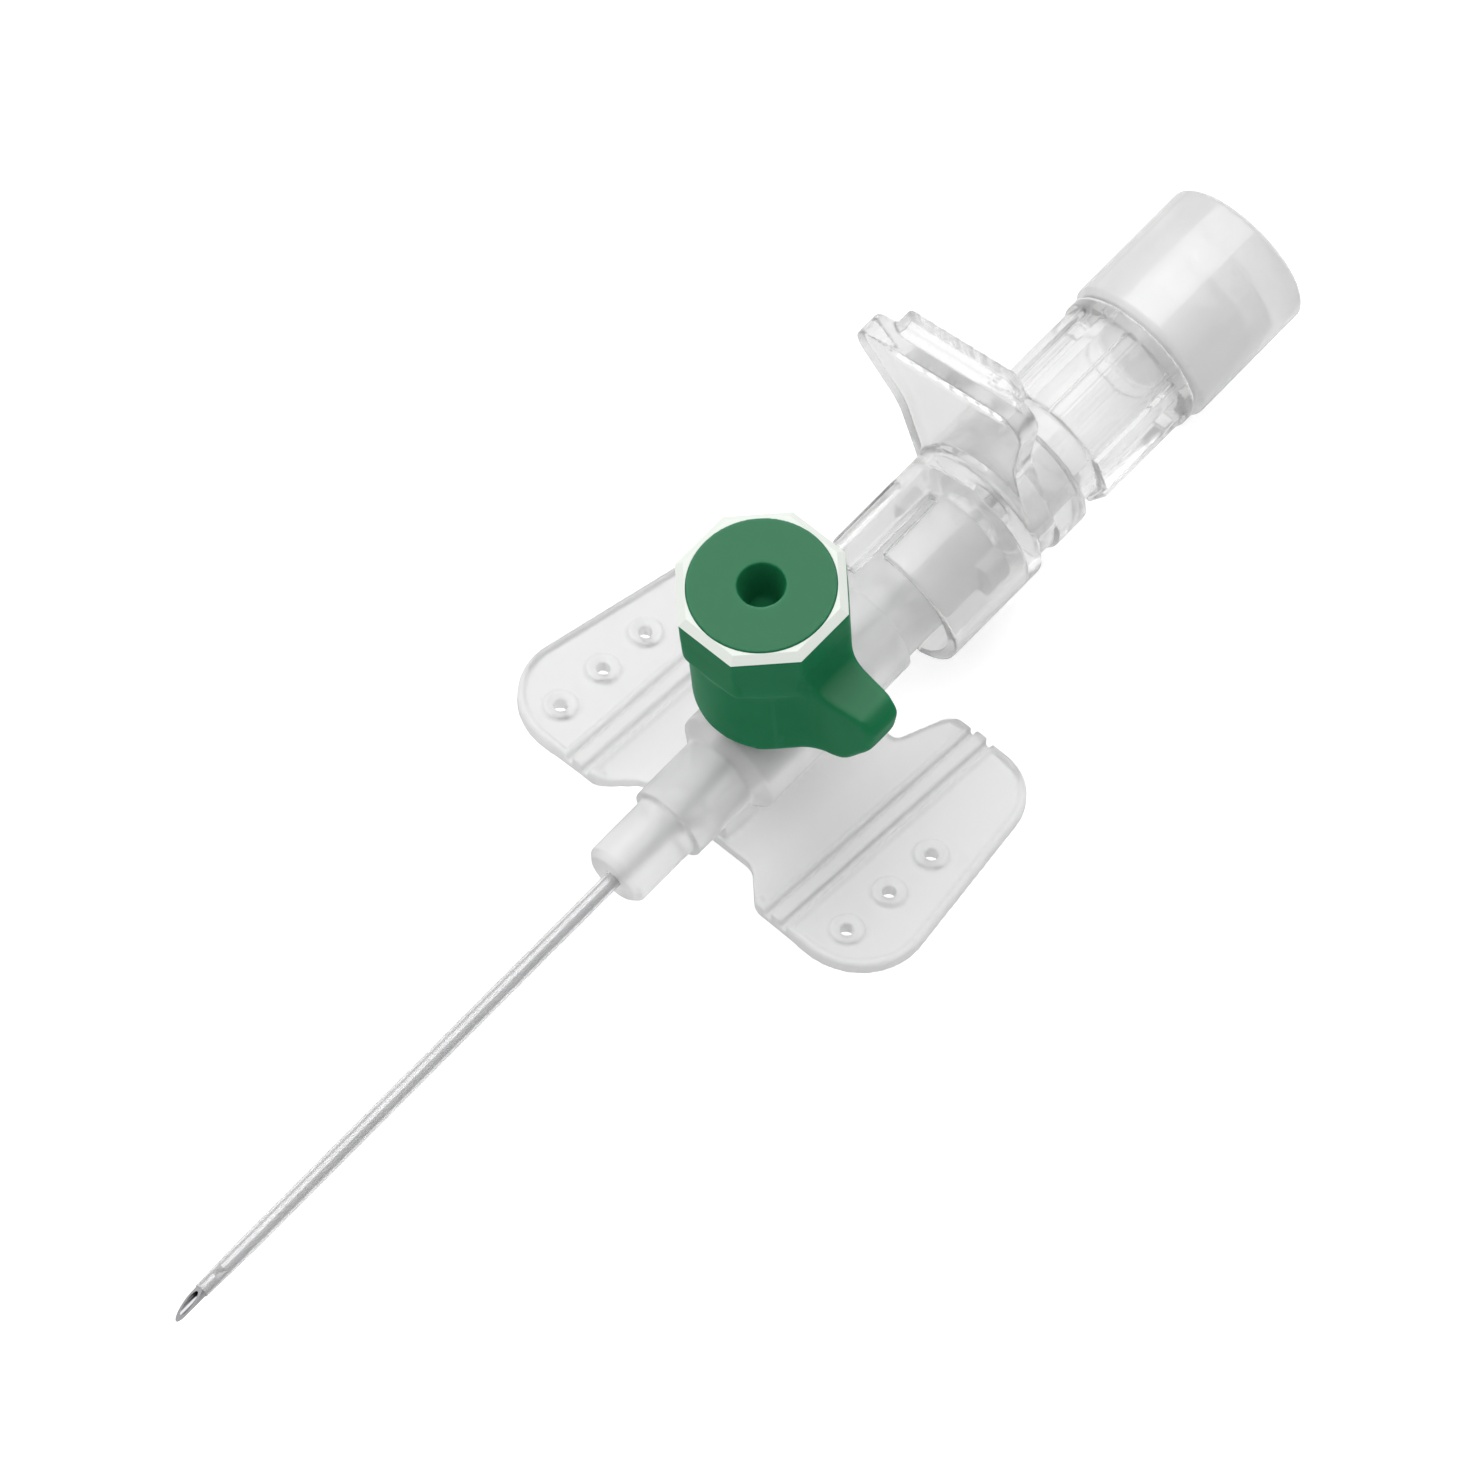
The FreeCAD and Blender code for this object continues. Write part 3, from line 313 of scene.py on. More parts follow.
def sheet_shade_group() -> bpy.types.NodeTree:
    """Build the group that gives a piece another colour away from its middle plane, where its sheet is
    thin; on the hub this is painted shade that dims the light showing through the wings.

    Returns:
        The node group.
    """
    tree, wiring, given, result = open_group(
        "painted_sheet_shade",
        [
            ("Color", "NodeSocketColor", (*grey(0.8), 1.0)),
            ("Thin Color", "NodeSocketColor", (*grey(0.7), 1.0)),
            ("Near", "NodeSocketFloat", 0.005),
            ("Far", "NodeSocketFloat", 0.007),
        ],
        [("Color", "NodeSocketColor")],
    )
    place = wiring.add("ShaderNodeTexCoord")
    parts = wiring.add("ShaderNodeSeparateXYZ")
    wiring.feed(parts, Vector=place.outputs["Object"])
    # Painted shade away from the middle plane, on the thin wings.
    aside = wiring.math("ABSOLUTE", parts.outputs["Y"])
    share = wiring.add("ShaderNodeMapRange")
    wiring.feed(share, Value=aside, From_Min=given.outputs["Near"], From_Max=given.outputs["Far"])
    colour = wiring.blend(share.outputs[0], given.outputs["Color"], given.outputs["Thin Color"])
    wiring.feed(result, Color=colour)
    return tree


# Finishes


@dataclass
class Shelf:
    """The shared node groups, built once."""

    moulding: bpy.types.NodeTree = field(default_factory=moulding_group)
    # Lays painted highlight or painted shade along raised edges.
    painted_edges: bpy.types.NodeTree = field(default_factory=painted_edge_group)
    # Paints thin sheets darker: painted shade on the wings.
    sheet_shade: bpy.types.NodeTree = field(default_factory=sheet_shade_group)
    # Paints faces that look up lighter: painted light from above.
    top_light: bpy.types.NodeTree = field(default_factory=top_light_group)


@dataclass(frozen=True)
class Plastic:
    """A moulded plastic: opaque, milky or clear."""

    name: str
    tint: tuple[float, float, float]
    deep: tuple[float, float, float]
    # Colour laid on raised edges, with edge_amount as its strength: a painted highlight when lighter than
    # the tint, painted shade when darker.
    edge: tuple[float, float, float]
    rough: float = 0.3
    patchiness: float = 0.08
    see_through: float = 0.0
    index: float = 1.46
    shadow_pass: float = 0.0
    shadow_tint: tuple[float, float, float] = grey(0.97)
    glow_depth: float = 0.0
    glow_share: float = 0.6
    edge_amount: float = 0.4
    cloud: float = 160.0
    grain: float = 4000.0
    grain_depth: float = 0.004
    grain_strength: float = 0.35
    coat: float = 0.0
    coat_rough: float = 0.08
    specular: float = 0.5
    # Darker colour painted where the sheet is thin: painted shade that dims the light through the wings.
    thin: tuple[float, float, float] | None = None
    # Lighter colour painted on faces that look up: painted light from above.
    top_light: tuple[float, float, float] | None = None

    def build(self, shelf: Shelf) -> bpy.types.Material:
        """Make the material.

        Args:
            shelf: The shared node groups.

        Returns:
            The material.
        """
        made, wiring, shader = open_material(self.name)
        marks = wiring.add("ShaderNodeGroup", node_tree=shelf.moulding)
        wiring.feed(
            marks, Tint=(*self.tint, 1.0), Deep=(*self.deep, 1.0), Cloud_Scale=self.cloud,
            Grain_Scale=self.grain, Roughness=self.rough, Patchiness=self.patchiness)
        body = marks.outputs["Color"]
        # Painted shade on the thin wings.
        if self.thin:
            sheet = wiring.add("ShaderNodeGroup", node_tree=shelf.sheet_shade)
            wiring.feed(sheet, Color=body, Thin_Color=(*self.thin, 1.0))
            body = sheet.outputs["Color"]
        # Painted light on the faces that look up.
        if self.top_light:
            top = wiring.add("ShaderNodeGroup", node_tree=shelf.top_light)
            wiring.feed(top, Color=body, Crown_Color=(*self.top_light, 1.0))
            body = top.outputs["Color"]
        # Raised edges get the edge colour: painted highlight or painted shade.
        edge_paint = wiring.add("ShaderNodeGroup", node_tree=shelf.painted_edges)
        wiring.feed(edge_paint, Color=body, Edge_Color=(*self.edge, 1.0), Amount=self.edge_amount)
        bump = wiring.add("ShaderNodeBump")
        wiring.feed(
            bump, Height=marks.outputs["Height"], Strength=self.grain_strength,
            Distance=self.grain_depth * MM)
        wiring.feed(
            shader, Base_Color=edge_paint.outputs["Color"], Roughness=marks.outputs["Roughness"],
            Normal=bump.outputs[0], IOR=self.index, Transmission_Weight=self.see_through,
            Coat_Weight=self.coat, Coat_Roughness=self.coat_rough, Specular_IOR_Level=self.specular)
        if self.glow_depth > 0.0:
            wiring.feed(
                shader, Subsurface_Weight=self.glow_share, Subsurface_Scale=self.glow_depth * MM,
                Subsurface_Radius=(1.0, 1.0, 1.0))
        if self.shadow_pass > 0.0:
            self.let_shadows_through(wiring, shader)
        return made

    def let_shadows_through(self, wiring: Wiring, shader: bpy.types.Node) -> None:
        """Let a share of the light pass where a shadow would fall.

        Args:
            wiring: Wiring of the material.
            shader: Its Principled shader.
        """
        path = wiring.add("ShaderNodeLightPath")
        clear = wiring.add("ShaderNodeBsdfTransparent")
        wiring.feed(clear, Color=(*self.shadow_tint, 1.0))
        share = wiring.math("MULTIPLY", path.outputs["Is Shadow Ray"], self.shadow_pass)
        mix = wiring.add("ShaderNodeMixShader")
        for value, socket in zip((share, shader.outputs[0], clear.outputs[0]), mix.inputs):
            wiring.join(value, socket)
        wiring.feed(wiring.tree.nodes["Material Output"], Surface=mix.outputs[0])


@dataclass(frozen=True)
class DrawnSteel:
    """Drawn and polished stainless tube, with fine marks along its length."""

    name: str
    tint: tuple[float, float, float]
    rough: float = 0.2
    rough_swing: float = 0.04
    streak_across: float = 9000.0
    streak_along: float = 60.0
    streak_shade: float = 0.93
    # Lighter colour laid on raised edges, with edge_amount as its strength: a painted highlight.
    edge: tuple[float, float, float] = grey(0.9)
    edge_amount: float = 0.1

    def build(self, shelf: Shelf) -> bpy.types.Material:
        """Make the material.

        Args:
            shelf: The shared node groups.

        Returns:
            The material.
        """
        made, wiring, shader = open_material(self.name)
        place = wiring.add("ShaderNodeTexCoord")
        stretch = wiring.add("ShaderNodeMapping")
        wiring.feed(
            stretch, Vector=place.outputs["Object"],
            Scale=(self.streak_along, self.streak_across, self.streak_across))
        streak = wiring.add("ShaderNodeTexNoise")
        wiring.feed(streak, Vector=stretch.outputs[0], Scale=1.0, Detail=2.0)
        dark = tuple(self.streak_shade * value for value in self.tint)
        colour = wiring.blend(streak.outputs[0], (*self.tint, 1.0), (*dark, 1.0))
        # Painted highlight on raised edges.
        edge_paint = wiring.add("ShaderNodeGroup", node_tree=shelf.painted_edges)
        wiring.feed(edge_paint, Color=colour, Edge_Color=(*self.edge, 1.0), Amount=self.edge_amount)
        swing = wiring.math("MULTIPLY", streak.outputs[0], self.rough_swing)
        rough = wiring.math("ADD", swing, self.rough)
        wiring.feed(shader, Base_Color=edge_paint.outputs["Color"], Metallic=1.0, Roughness=rough)
        return made


@dataclass(frozen=True)
class Porous:
    """Sintered filter disc: matt white grains."""

    name: str
    tint: tuple[float, float, float]
    rough: float = 0.85
    bead: float = 9000.0
    bead_shade: float = 0.8
    bead_depth: float = 0.02
    bead_strength: float = 0.5

    def build(self, shelf: Shelf) -> bpy.types.Material:
        """Make the material.

        Args:
            shelf: The shared node groups.

        Returns:
            The material.
        """
        made, wiring, shader = open_material(self.name)
        place = wiring.add("ShaderNodeTexCoord")
        grains = wiring.add("ShaderNodeTexVoronoi")
        wiring.feed(grains, Vector=place.outputs["Object"], Scale=self.bead)
        dark = tuple(self.bead_shade * value for value in self.tint)
        colour = wiring.blend(grains.outputs["Distance"], (*self.tint, 1.0), (*dark, 1.0))
        bump = wiring.add("ShaderNodeBump")
        wiring.feed(
            bump, Height=grains.outputs["Distance"], Strength=self.bead_strength,
            Distance=self.bead_depth * MM)
        wiring.feed(shader, Base_Color=colour, Roughness=self.rough, Normal=bump.outputs[0])
        return made


# The milky edge colour is darker than its tint: painted shade along raised edges.
MILKY = Plastic(
    "milky_finish", tint=grey(0.87), deep=grey(0.83), edge=grey(0.6), rough=0.4,
    see_through=0.68, shadow_pass=0.85, index=1.35, edge_amount=0.6)

# Where a finish's edge colour is lighter than its tint, its raised edges carry a painted highlight; where
# darker, painted shade.
FINISHES = {
    "tube": Plastic(
        "soft_tube_finish", tint=grey(0.92), deep=grey(0.88), edge=grey(0.96),
        rough=0.14, see_through=0.82, shadow_pass=0.8, index=1.35, grain_depth=0.001),
    # The hub's thin colour is painted shade on the wings, and its dark edge colour is painted shade along
    # edges.
    "hub": replace(MILKY, thin=grey(0.775), edge=grey(0.52), edge_amount=0.12),
    "tail": replace(
        MILKY, name="tail_finish", tint=grey(0.88), deep=grey(0.85), coat=0.9, coat_rough=0.03,
        see_through=0.6, edge_amount=0.2),
    "clear": Plastic(
        "clear_finish", tint=grey(0.88), deep=grey(0.84), edge=grey(0.93),
        rough=0.14, see_through=0.84, shadow_pass=0.85, patchiness=0.05, index=1.3, coat=0.4),
    # The lighter colour on the green top faces is painted light from above, and the green edge colour is a
    # painted highlight.
    "green": Plastic(
        "green_finish", tint=(0.015, 0.182, 0.076), deep=(0.013, 0.164, 0.067),
        edge=(0.04, 0.22, 0.12), top_light=(0.066, 0.217, 0.118), rough=0.42, patchiness=0.12,
        edge_amount=0.2, specular=0.02, glow_depth=1.5),
    "pale": Plastic(
        "pale_finish", tint=(0.82, 0.87, 0.81), deep=(0.78, 0.83, 0.77), edge=(0.85, 0.89, 0.84),
        rough=0.4, patchiness=0.1, specular=0.3),
    "silicone": Plastic(
        "silicone_finish", tint=grey(0.85), deep=grey(0.8), edge=grey(0.9), rough=0.5,
        see_through=0.6, shadow_pass=0.6),
    "steel": DrawnSteel("steel_finish", tint=(0.34, 0.34, 0.35)),
    "filter": Porous("filter_finish", tint=(0.93, 0.93, 0.92)),
}


# Repeated shapes


def bar_ring_tree() -> bpy.types.NodeTree:
    """Build the shape of bars that lie along the needle axis, at equal angles round it.

    Returns:
        The geometry node group.
    """
    tree, wiring, given, result = open_group(
        "bar_ring",
        [
            ("Count", "NodeSocketInt", 8),
            ("Radius", "NodeSocketFloat", 4.0),
            ("Length", "NodeSocketFloat", 5.0),
            ("Width", "NodeSocketFloat", 0.3),
            ("Height", "NodeSocketFloat", 0.5),
            ("Phase", "NodeSocketFloat", 0.0),
            ("Centre", "NodeSocketVector", (0.0, 0.0, 0.0)),
            ("Material", "NodeSocketMaterial", None),
        ],
        [("Geometry", "NodeSocketGeometry")],
        "GeometryNodeTree",
    )
    circle = wiring.add("GeometryNodeMeshCircle")
    wiring.feed(circle, Vertices=given.outputs["Count"], Radius=given.outputs["Radius"])
    extent = wiring.add("ShaderNodeCombineXYZ")
    wiring.feed(extent, X=given.outputs["Height"], Y=given.outputs["Width"], Z=given.outputs["Length"])
    bar = wiring.add("GeometryNodeMeshCube")
    wiring.feed(bar, Size=extent.outputs[0])
    step = wiring.math("DIVIDE", 2.0 * math.pi, given.outputs["Count"])
    angle = wiring.math("MULTIPLY", wiring.add("GeometryNodeInputIndex").outputs[0], step)
    facing = wiring.add("ShaderNodeCombineXYZ")
    wiring.feed(facing, Z=angle)
    placed = wiring.add("GeometryNodeInstanceOnPoints")
    wiring.feed(placed, Points=circle.outputs[0], Instance=bar.outputs["Mesh"], Rotation=facing.outputs[0])
    phase = wiring.add("ShaderNodeCombineXYZ")
    wiring.feed(phase, Z=given.outputs["Phase"])
    spun = wiring.add("GeometryNodeTransform")
    wiring.feed(spun, Geometry=placed.outputs[0], Rotation=phase.outputs[0])
    laid = wiring.add("GeometryNodeTransform")
    wiring.feed(laid, Geometry=spun.outputs[0], Rotation=(0.0, math.pi / 2.0, 0.0))
    wiring.feed(laid, Translation=given.outputs["Centre"])
    finish_shape(wiring, laid.outputs[0], given, result)
    return tree


ROW_INPUTS = [
    ("Count", "NodeSocketInt", 3),
    ("Start", "NodeSocketVector", (0.0, 0.0, 0.0)),
    ("Pitch", "NodeSocketVector", (1.0, 0.0, 0.0)),
    ("Turn", "NodeSocketVector", (0.0, 0.0, 0.0)),
    ("Centre", "NodeSocketVector", (0.0, 0.0, 0.0)),
    ("Material", "NodeSocketMaterial", None),
]


def lay_row(wiring: Wiring, given: bpy.types.Node, item: bpy.types.NodeSocket) -> bpy.types.NodeSocket:
    """Set copies of an item out in a row, then turn the row and move it to its centre."""
    row = wiring.add("GeometryNodeMeshLine")
    wiring.feed(
        row, Count=given.outputs["Count"], Start_Location=given.outputs["Start"],
        Offset=given.outputs["Pitch"])
    placed = wiring.add("GeometryNodeInstanceOnPoints")
    wiring.feed(placed, Points=row.outputs[0], Instance=item)
    laid = wiring.add("GeometryNodeTransform")
    wiring.feed(
        laid, Geometry=placed.outputs[0], Rotation=given.outputs["Turn"],
        Translation=given.outputs["Centre"])
    return laid.outputs[0]


def ring_row_tree() -> bpy.types.NodeTree:
    """Build the shape of a row of round beads.

    Returns:
        The geometry node group.
    """
    own = [("Ring Radius", "NodeSocketFloat", 1.0), ("Bead Radius", "NodeSocketFloat", 0.2)]
    tree, wiring, given, result = open_group(
        "ring_row", own + ROW_INPUTS, [("Geometry", "NodeSocketGeometry")], "GeometryNodeTree")
    ring = wiring.add("GeometryNodeCurvePrimitiveCircle")
    wiring.feed(ring, Resolution=RING_SIDES, Radius=given.outputs["Ring Radius"])
    bead = swept(wiring, ring.outputs[0], given.outputs["Bead Radius"])
    finish_shape(wiring, lay_row(wiring, given, bead), given, result)
    return tree


def bar_row_tree() -> bpy.types.NodeTree:
    """Build the shape of a row of bars.

    Returns:
        The geometry node group.
    """
    own = [("Size", "NodeSocketVector", (1.0, 1.0, 1.0))]
    tree, wiring, given, result = open_group(
        "bar_row", own + ROW_INPUTS, [("Geometry", "NodeSocketGeometry")], "GeometryNodeTree")
    bar = wiring.add("GeometryNodeMeshCube")
    wiring.feed(bar, Size=given.outputs["Size"])
    finish_shape(wiring, lay_row(wiring, given, bar.outputs["Mesh"]), given, result)
    return tree


def edge_bead_tree() -> bpy.types.NodeTree:
    """Build the shape of a round bead that follows the edges of the mesh it is given.

    Returns:
        The geometry node group.
    """
    tree, wiring, given, result = open_group(
        "edge_bead",
        [
            ("Geometry", "NodeSocketGeometry", None),
            ("Bead Radius", "NodeSocketFloat", 0.2),
            ("Material", "NodeSocketMaterial", None),
        ],
        [("Geometry", "NodeSocketGeometry")],
        "GeometryNodeTree",
    )
    path = wiring.add("GeometryNodeMeshToCurve")
    wiring.feed(path, Mesh=given.outputs["Geometry"])
    finish_shape(wiring, swept(wiring, path.outputs[0], given.outputs["Bead Radius"]), given, result)
    return tree


def swept(wiring: Wiring, path: bpy.types.NodeSocket, radius: bpy.types.NodeSocket) -> bpy.types.NodeSocket:
    """Sweep a small circle along a path, with closed ends."""
    section = wiring.add("GeometryNodeCurvePrimitiveCircle")
    wiring.feed(section, Resolution=BEAD_SIDES, Radius=radius)
    bead = wiring.add("GeometryNodeCurveToMesh")
    wiring.feed(bead, Curve=path, Profile_Curve=section.outputs[0], Fill_Caps=True)
    return bead.outputs[0]


def finish_shape(
    wiring: Wiring, shape: bpy.types.NodeSocket, given: bpy.types.Node, result: bpy.types.Node
) -> None:
    """End a shape's tree: turn its copies into real faces and give them the material."""
    real = wiring.add("GeometryNodeRealizeInstances")
    wiring.feed(real, Geometry=shape)
    dressed = wiring.add("GeometryNodeSetMaterial")
    wiring.feed(dressed, Geometry=real.outputs[0], Material=given.outputs["Material"])
    wiring.feed(result, Geometry=dressed.outputs[0])


def generated(
    name: str, tree: bpy.types.NodeTree, guide: bpy.types.Mesh | None = None, **values: object
) -> bpy.types.Object:
    """Make a plain mesh from a geometry node group.

    Args:
        name: Name of the new piece.
        tree: The group.
        guide: Mesh that the group works on, where it needs one.
        values: Its inputs by name; an underscore stands for a space.

    Returns:
        The piece, in millimetres, with no modifier left.
    """
    piece = add_object(name, guide or bpy.data.meshes.new(name))
    maker = piece.modifiers.new("maker", "NODES")
    maker.node_group = tree
    sockets = {item.name: item.identifier for item in tree.interface.items_tree if item.in_out == "INPUT"}
    for label, value in values.items():
        maker[sockets[label.replace("_", " ")]] = value
    return settle(piece)


# Meshes


def add_object(name: str, mesh: bpy.types.Mesh) -> bpy.types.Object:
    """Put a mesh into the scene as an object at the origin."""
    made = bpy.data.objects.new(name, mesh)
    bpy.context.scene.collection.objects.link(made)
    return made


def settle(piece: bpy.types.Object) -> bpy.types.Object:
    """Turn an object with live modifiers into a plain mesh.

    Args:
        piece: The object to convert.

    Returns:
        The same object with its modifiers applied and removed.
    """
    bpy.context.view_layer.update()
    graph = bpy.context.evaluated_depsgraph_get()
    mesh = bpy.data.meshes.new_from_object(piece.evaluated_get(graph))
    piece.modifiers.clear()
    piece.data = mesh
    return piece


def merged_copy(nodes: list[str]) -> bmesh.types.BMesh:
    """Copy CAD nodes into one mesh with merged corners, in millimetres.

    Args:
        nodes: The CAD nodes.

    Returns:
        The mesh, which the caller frees.
    """
    shape = bmesh.new()
    for node in nodes:
        shape.from_mesh(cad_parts[node].data)
    bmesh.ops.remove_doubles(shape, verts=shape.verts, dist=MERGE_DISTANCE)
    bmesh.ops.scale(shape, vec=Vector((1.0 / MM, 1.0 / MM, 1.0 / MM)), verts=shape.verts)
    return shape


def moulded(
    name: str, nodes: list[str], voxel: float, passes: int, extras: tuple[bpy.types.Object, ...] = (),
    kept: float = 1.0,
) -> bpy.types.Object:
    """Lay a soft moulding over CAD solids: one closed skin with rounded edges.

    Args:
        name: Name of the new piece.
        nodes: The CAD nodes that it follows.
        voxel: Grid of the skin in millimetres.
        passes: Smoothing passes, which round the edges.
        extras: Loose shapes in millimetres that melt into the skin and are used up.
        kept: Share of its triangles that stay where the skin is finer than it need be.

    Returns:
        The moulding.
    """
    shape = merged_copy(nodes)
    for extra in extras:
        shape.from_mesh(extra.data)
        bpy.data.objects.remove(extra)
    mesh = bpy.data.meshes.new(name)
    shape.to_mesh(mesh)
    shape.free()
    piece = add_object(name, mesh)
    skin = piece.modifiers.new("skin", "REMESH")
    skin.mode = "VOXEL"
    skin.voxel_size = voxel
    skin.use_smooth_shade = True
    soften = piece.modifiers.new("soften", "SMOOTH")
    soften.factor = SMOOTH_SHARE
    soften.iterations = passes
    if kept < 1.0:
        thinned = piece.modifiers.new("thinned", "DECIMATE")
        thinned.ratio = kept
    settle(piece)
    piece.data.transform(Matrix.Scale(MM, 4))
    piece.data.update()
    return piece


def melt_below(piece: bpy.types.Object, full: float, none: float, passes: int) -> None:
    """Smooth the lower part of a piece, so that its forms flow into each other.

    Args:
        piece: The piece, in metres.
        full: Height under which the smoothing acts in full, in metres.
        none: Height over which nothing changes, in metres.
        passes: Smoothing passes.
    """
    group = piece.vertex_groups.new(name="melt")
    for vertex in piece.data.vertices:
        share = (none - vertex.co.z) / (none - full)
        if share > 0.0:
            group.add([vertex.index], min(1.0, share), "REPLACE")
    soften = piece.modifiers.new("melt", "SMOOTH")
    soften.factor = SMOOTH_SHARE
    soften.iterations = passes
    soften.vertex_group = group.name
    settle(piece)
    piece.vertex_groups.clear()


def broad_sheet(shape: bmesh.types.BMesh, normal: Vector) -> set[bmesh.types.BMFace]:
    """Find the faces of the broadest flat sheet that faces one way.

    Args:
        shape: The mesh, in millimetres.
        normal: The way the sheet faces.

    Returns:
        The faces of the sheet.
    """
    facing = [face for face in shape.faces if face.normal.dot(normal) > PARALLEL]
    levels: dict[float, float] = {}
    for face in facing:
        level = round(face.verts[0].co.dot(normal), 1)
        levels[level] = levels.get(level, 0.0) + face.calc_area()
    broad = max(levels, key=levels.get)
    return {face for face in facing if abs(face.verts[0].co.dot(normal) - broad) < SHEET_STEP}


def inward(edge: bmesh.types.BMEdge, sheet: set[bmesh.types.BMFace], normal: Vector) -> Vector:
    """Return the direction that leads from an edge of a sheet into the sheet."""
    start, end = edge.verts
    across = normal.cross(end.co - start.co).normalized()
    own = edge.link_faces[0] if edge.link_faces[0] in sheet else edge.link_faces[1]
    if across.dot(own.calc_center_median() - start.co) < 0.0:
        across.negate()
    return across


def sheet_border(node: str, normal: Vector, clear: float, inset: float) -> bpy.types.Mesh:
    """Find the outer edges of the broad flat sheet of a CAD node.

    Args:
        node: The CAD node.
        normal: The way its sheet faces.
        clear: How far from the middle plane the edges count, in millimetres.
        inset: How far the edges are moved into the sheet, in millimetres.

    Returns:
        A mesh of those edges alone, in millimetres.
    """
    shape = merged_copy([node])
    shape.normal_update()
    sheet = broad_sheet(shape, normal)
    border = [
        edge for edge in shape.edges
        if len(edge.link_faces) == 2 and edge.is_convex
        and (edge.link_faces[0] in sheet) != (edge.link_faces[1] in sheet)
        and min(abs(vert.co.y) for vert in edge.verts) > clear]
    points = sorted({vert for edge in border for vert in edge.verts}, key=lambda vert: vert.index)
    places = {vert: index for index, vert in enumerate(points)}
    shifts = [Vector() for _ in points]
    for edge in border:
        for vert in edge.verts:
            shifts[places[vert]] += inward(edge, sheet, normal)
    moved = [vert.co + shift.normalized() * inset for vert, shift in zip(points, shifts)]
    lines = [tuple(places[vert] for vert in edge.verts) for edge in border]
    mesh = bpy.data.meshes.new("sheet_border")
    mesh.from_pydata([tuple(place) for place in moved], lines, [])
    shape.free()
    return mesh


def dress(piece: bpy.types.Object, material: bpy.types.Material) -> None:
    """Give a piece one material."""
    piece.data.materials.clear()
    piece.data.materials.append(material)
    for face in piece.data.polygons:
        face.material_index = 0


@dataclass
class Workshop:
    """What every sub-assembly needs: finishes, shape groups, and the way a piece is dressed and set on its
    body.
    """

    materials: dict[str, bpy.types.Material]
    bar_ring: bpy.types.NodeTree = field(default_factory=bar_ring_tree)
    ring_row: bpy.types.NodeTree = field(default_factory=ring_row_tree)
    bar_row: bpy.types.NodeTree = field(default_factory=bar_row_tree)
    edge_bead: bpy.types.NodeTree = field(default_factory=edge_bead_tree)

    def hand_in(
        self, piece: bpy.types.Object, body: Body, slot: Slot, look: str, replaces: tuple[str, ...] = ()
    ) -> bpy.types.Object:
        """Dress a piece, let it ride on its body and hide the CAD nodes that it stands for.

        Args:
            piece: The finished piece.
            body: The body that it moves with.
            slot: Its material slot in the record; not used.
            look: Its finish.
            replaces: The CAD nodes that it stands for.

        Returns:
            The piece.
        """
        dress(piece, self.materials[look])
        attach(piece, body.value)
        if replaces:
            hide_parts(*replaces)
        piece.data.calc_loop_triangles()
        LOG.info("%s: %d triangles on %s", piece.name, len(piece.data.loop_triangles), body.value)
        return piece

    def finish_node(self, node: str, look: str) -> None:
        """Give a CAD node that stays its finish."""
        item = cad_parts[node]
        material = self.materials[look]
        if item.material_slots:
            for holder in item.material_slots:
                holder.material = material
        else:
            item.data.materials.append(material)
        LOG.info("%s: kept as packed", node)


# Sub-assemblies


@dataclass
class Catheter:
    """The soft tube, the winged hub, the valve sleeve and the cap's ring; lengths in millimetres."""

    shop: Workshop
    voxel: float = 0.12
    passes: int = 2
    kept: float = 0.44
    rim_radius: float = 0.95
    bead_radius: float = 0.2
    rim_count: int = 3
    rim_pitch: float = 3.95
    rim_row_middle: float = -3.4
    rim_row_offset: float = 12.15
    rim_height: float = 0.62
    wing_slope: float = math.radians(9.5)
    wing_drop: float = 5.13
    border_clear: float = 6.2
    border_bead: float = 0.26

    def marks(self) -> tuple[bpy.types.Object, ...]:
        """Make the raised rims round the wing holes and the bead along the edge of the wings.

        Returns:
            One row of rims for each wing, and the bead.
        """
        centre = port_centre() / MM - Vector((0.0, 0.0, self.wing_drop))
        first = self.rim_row_middle - self.rim_pitch * (self.rim_count - 1) / 2.0
        rows = tuple(
            generated(
                "wing_rims", self.shop.ring_row, Ring_Radius=self.rim_radius,
                Bead_Radius=self.bead_radius, Count=self.rim_count,
                Start=(first, side * self.rim_row_offset, self.rim_height),
                Pitch=(self.rim_pitch, 0.0, 0.0), Turn=(0.0, self.wing_slope, 0.0), Centre=centre,
                Material=self.shop.materials["hub"])
            for side in (1.0, -1.0))
        upward = Vector((math.sin(self.wing_slope), 0.0, math.cos(self.wing_slope)))
        border = generated(
            "wing_border", self.shop.edge_bead,
            sheet_border("catheter_hub", upward, self.border_clear, self.border_bead),
            Bead_Radius=self.border_bead, Material=self.shop.materials["hub"])
        return (*rows, border)

    def build(self) -> None:
        """Build and dress the catheter."""
        hub = moulded("winged_hub", ["catheter_hub"], self.voxel, self.passes, self.marks(), self.kept)
        self.shop.hand_in(hub, Body.CATHETER, Slot.MILKY, "hub", ("catheter_hub",))
        self.shop.finish_node("catheter_tube", "tube")
        self.shop.finish_node("tube_eyelet", "steel")
        self.shop.finish_node("valve_sleeve", "silicone")
        self.shop.finish_node("cap_ring", "green")


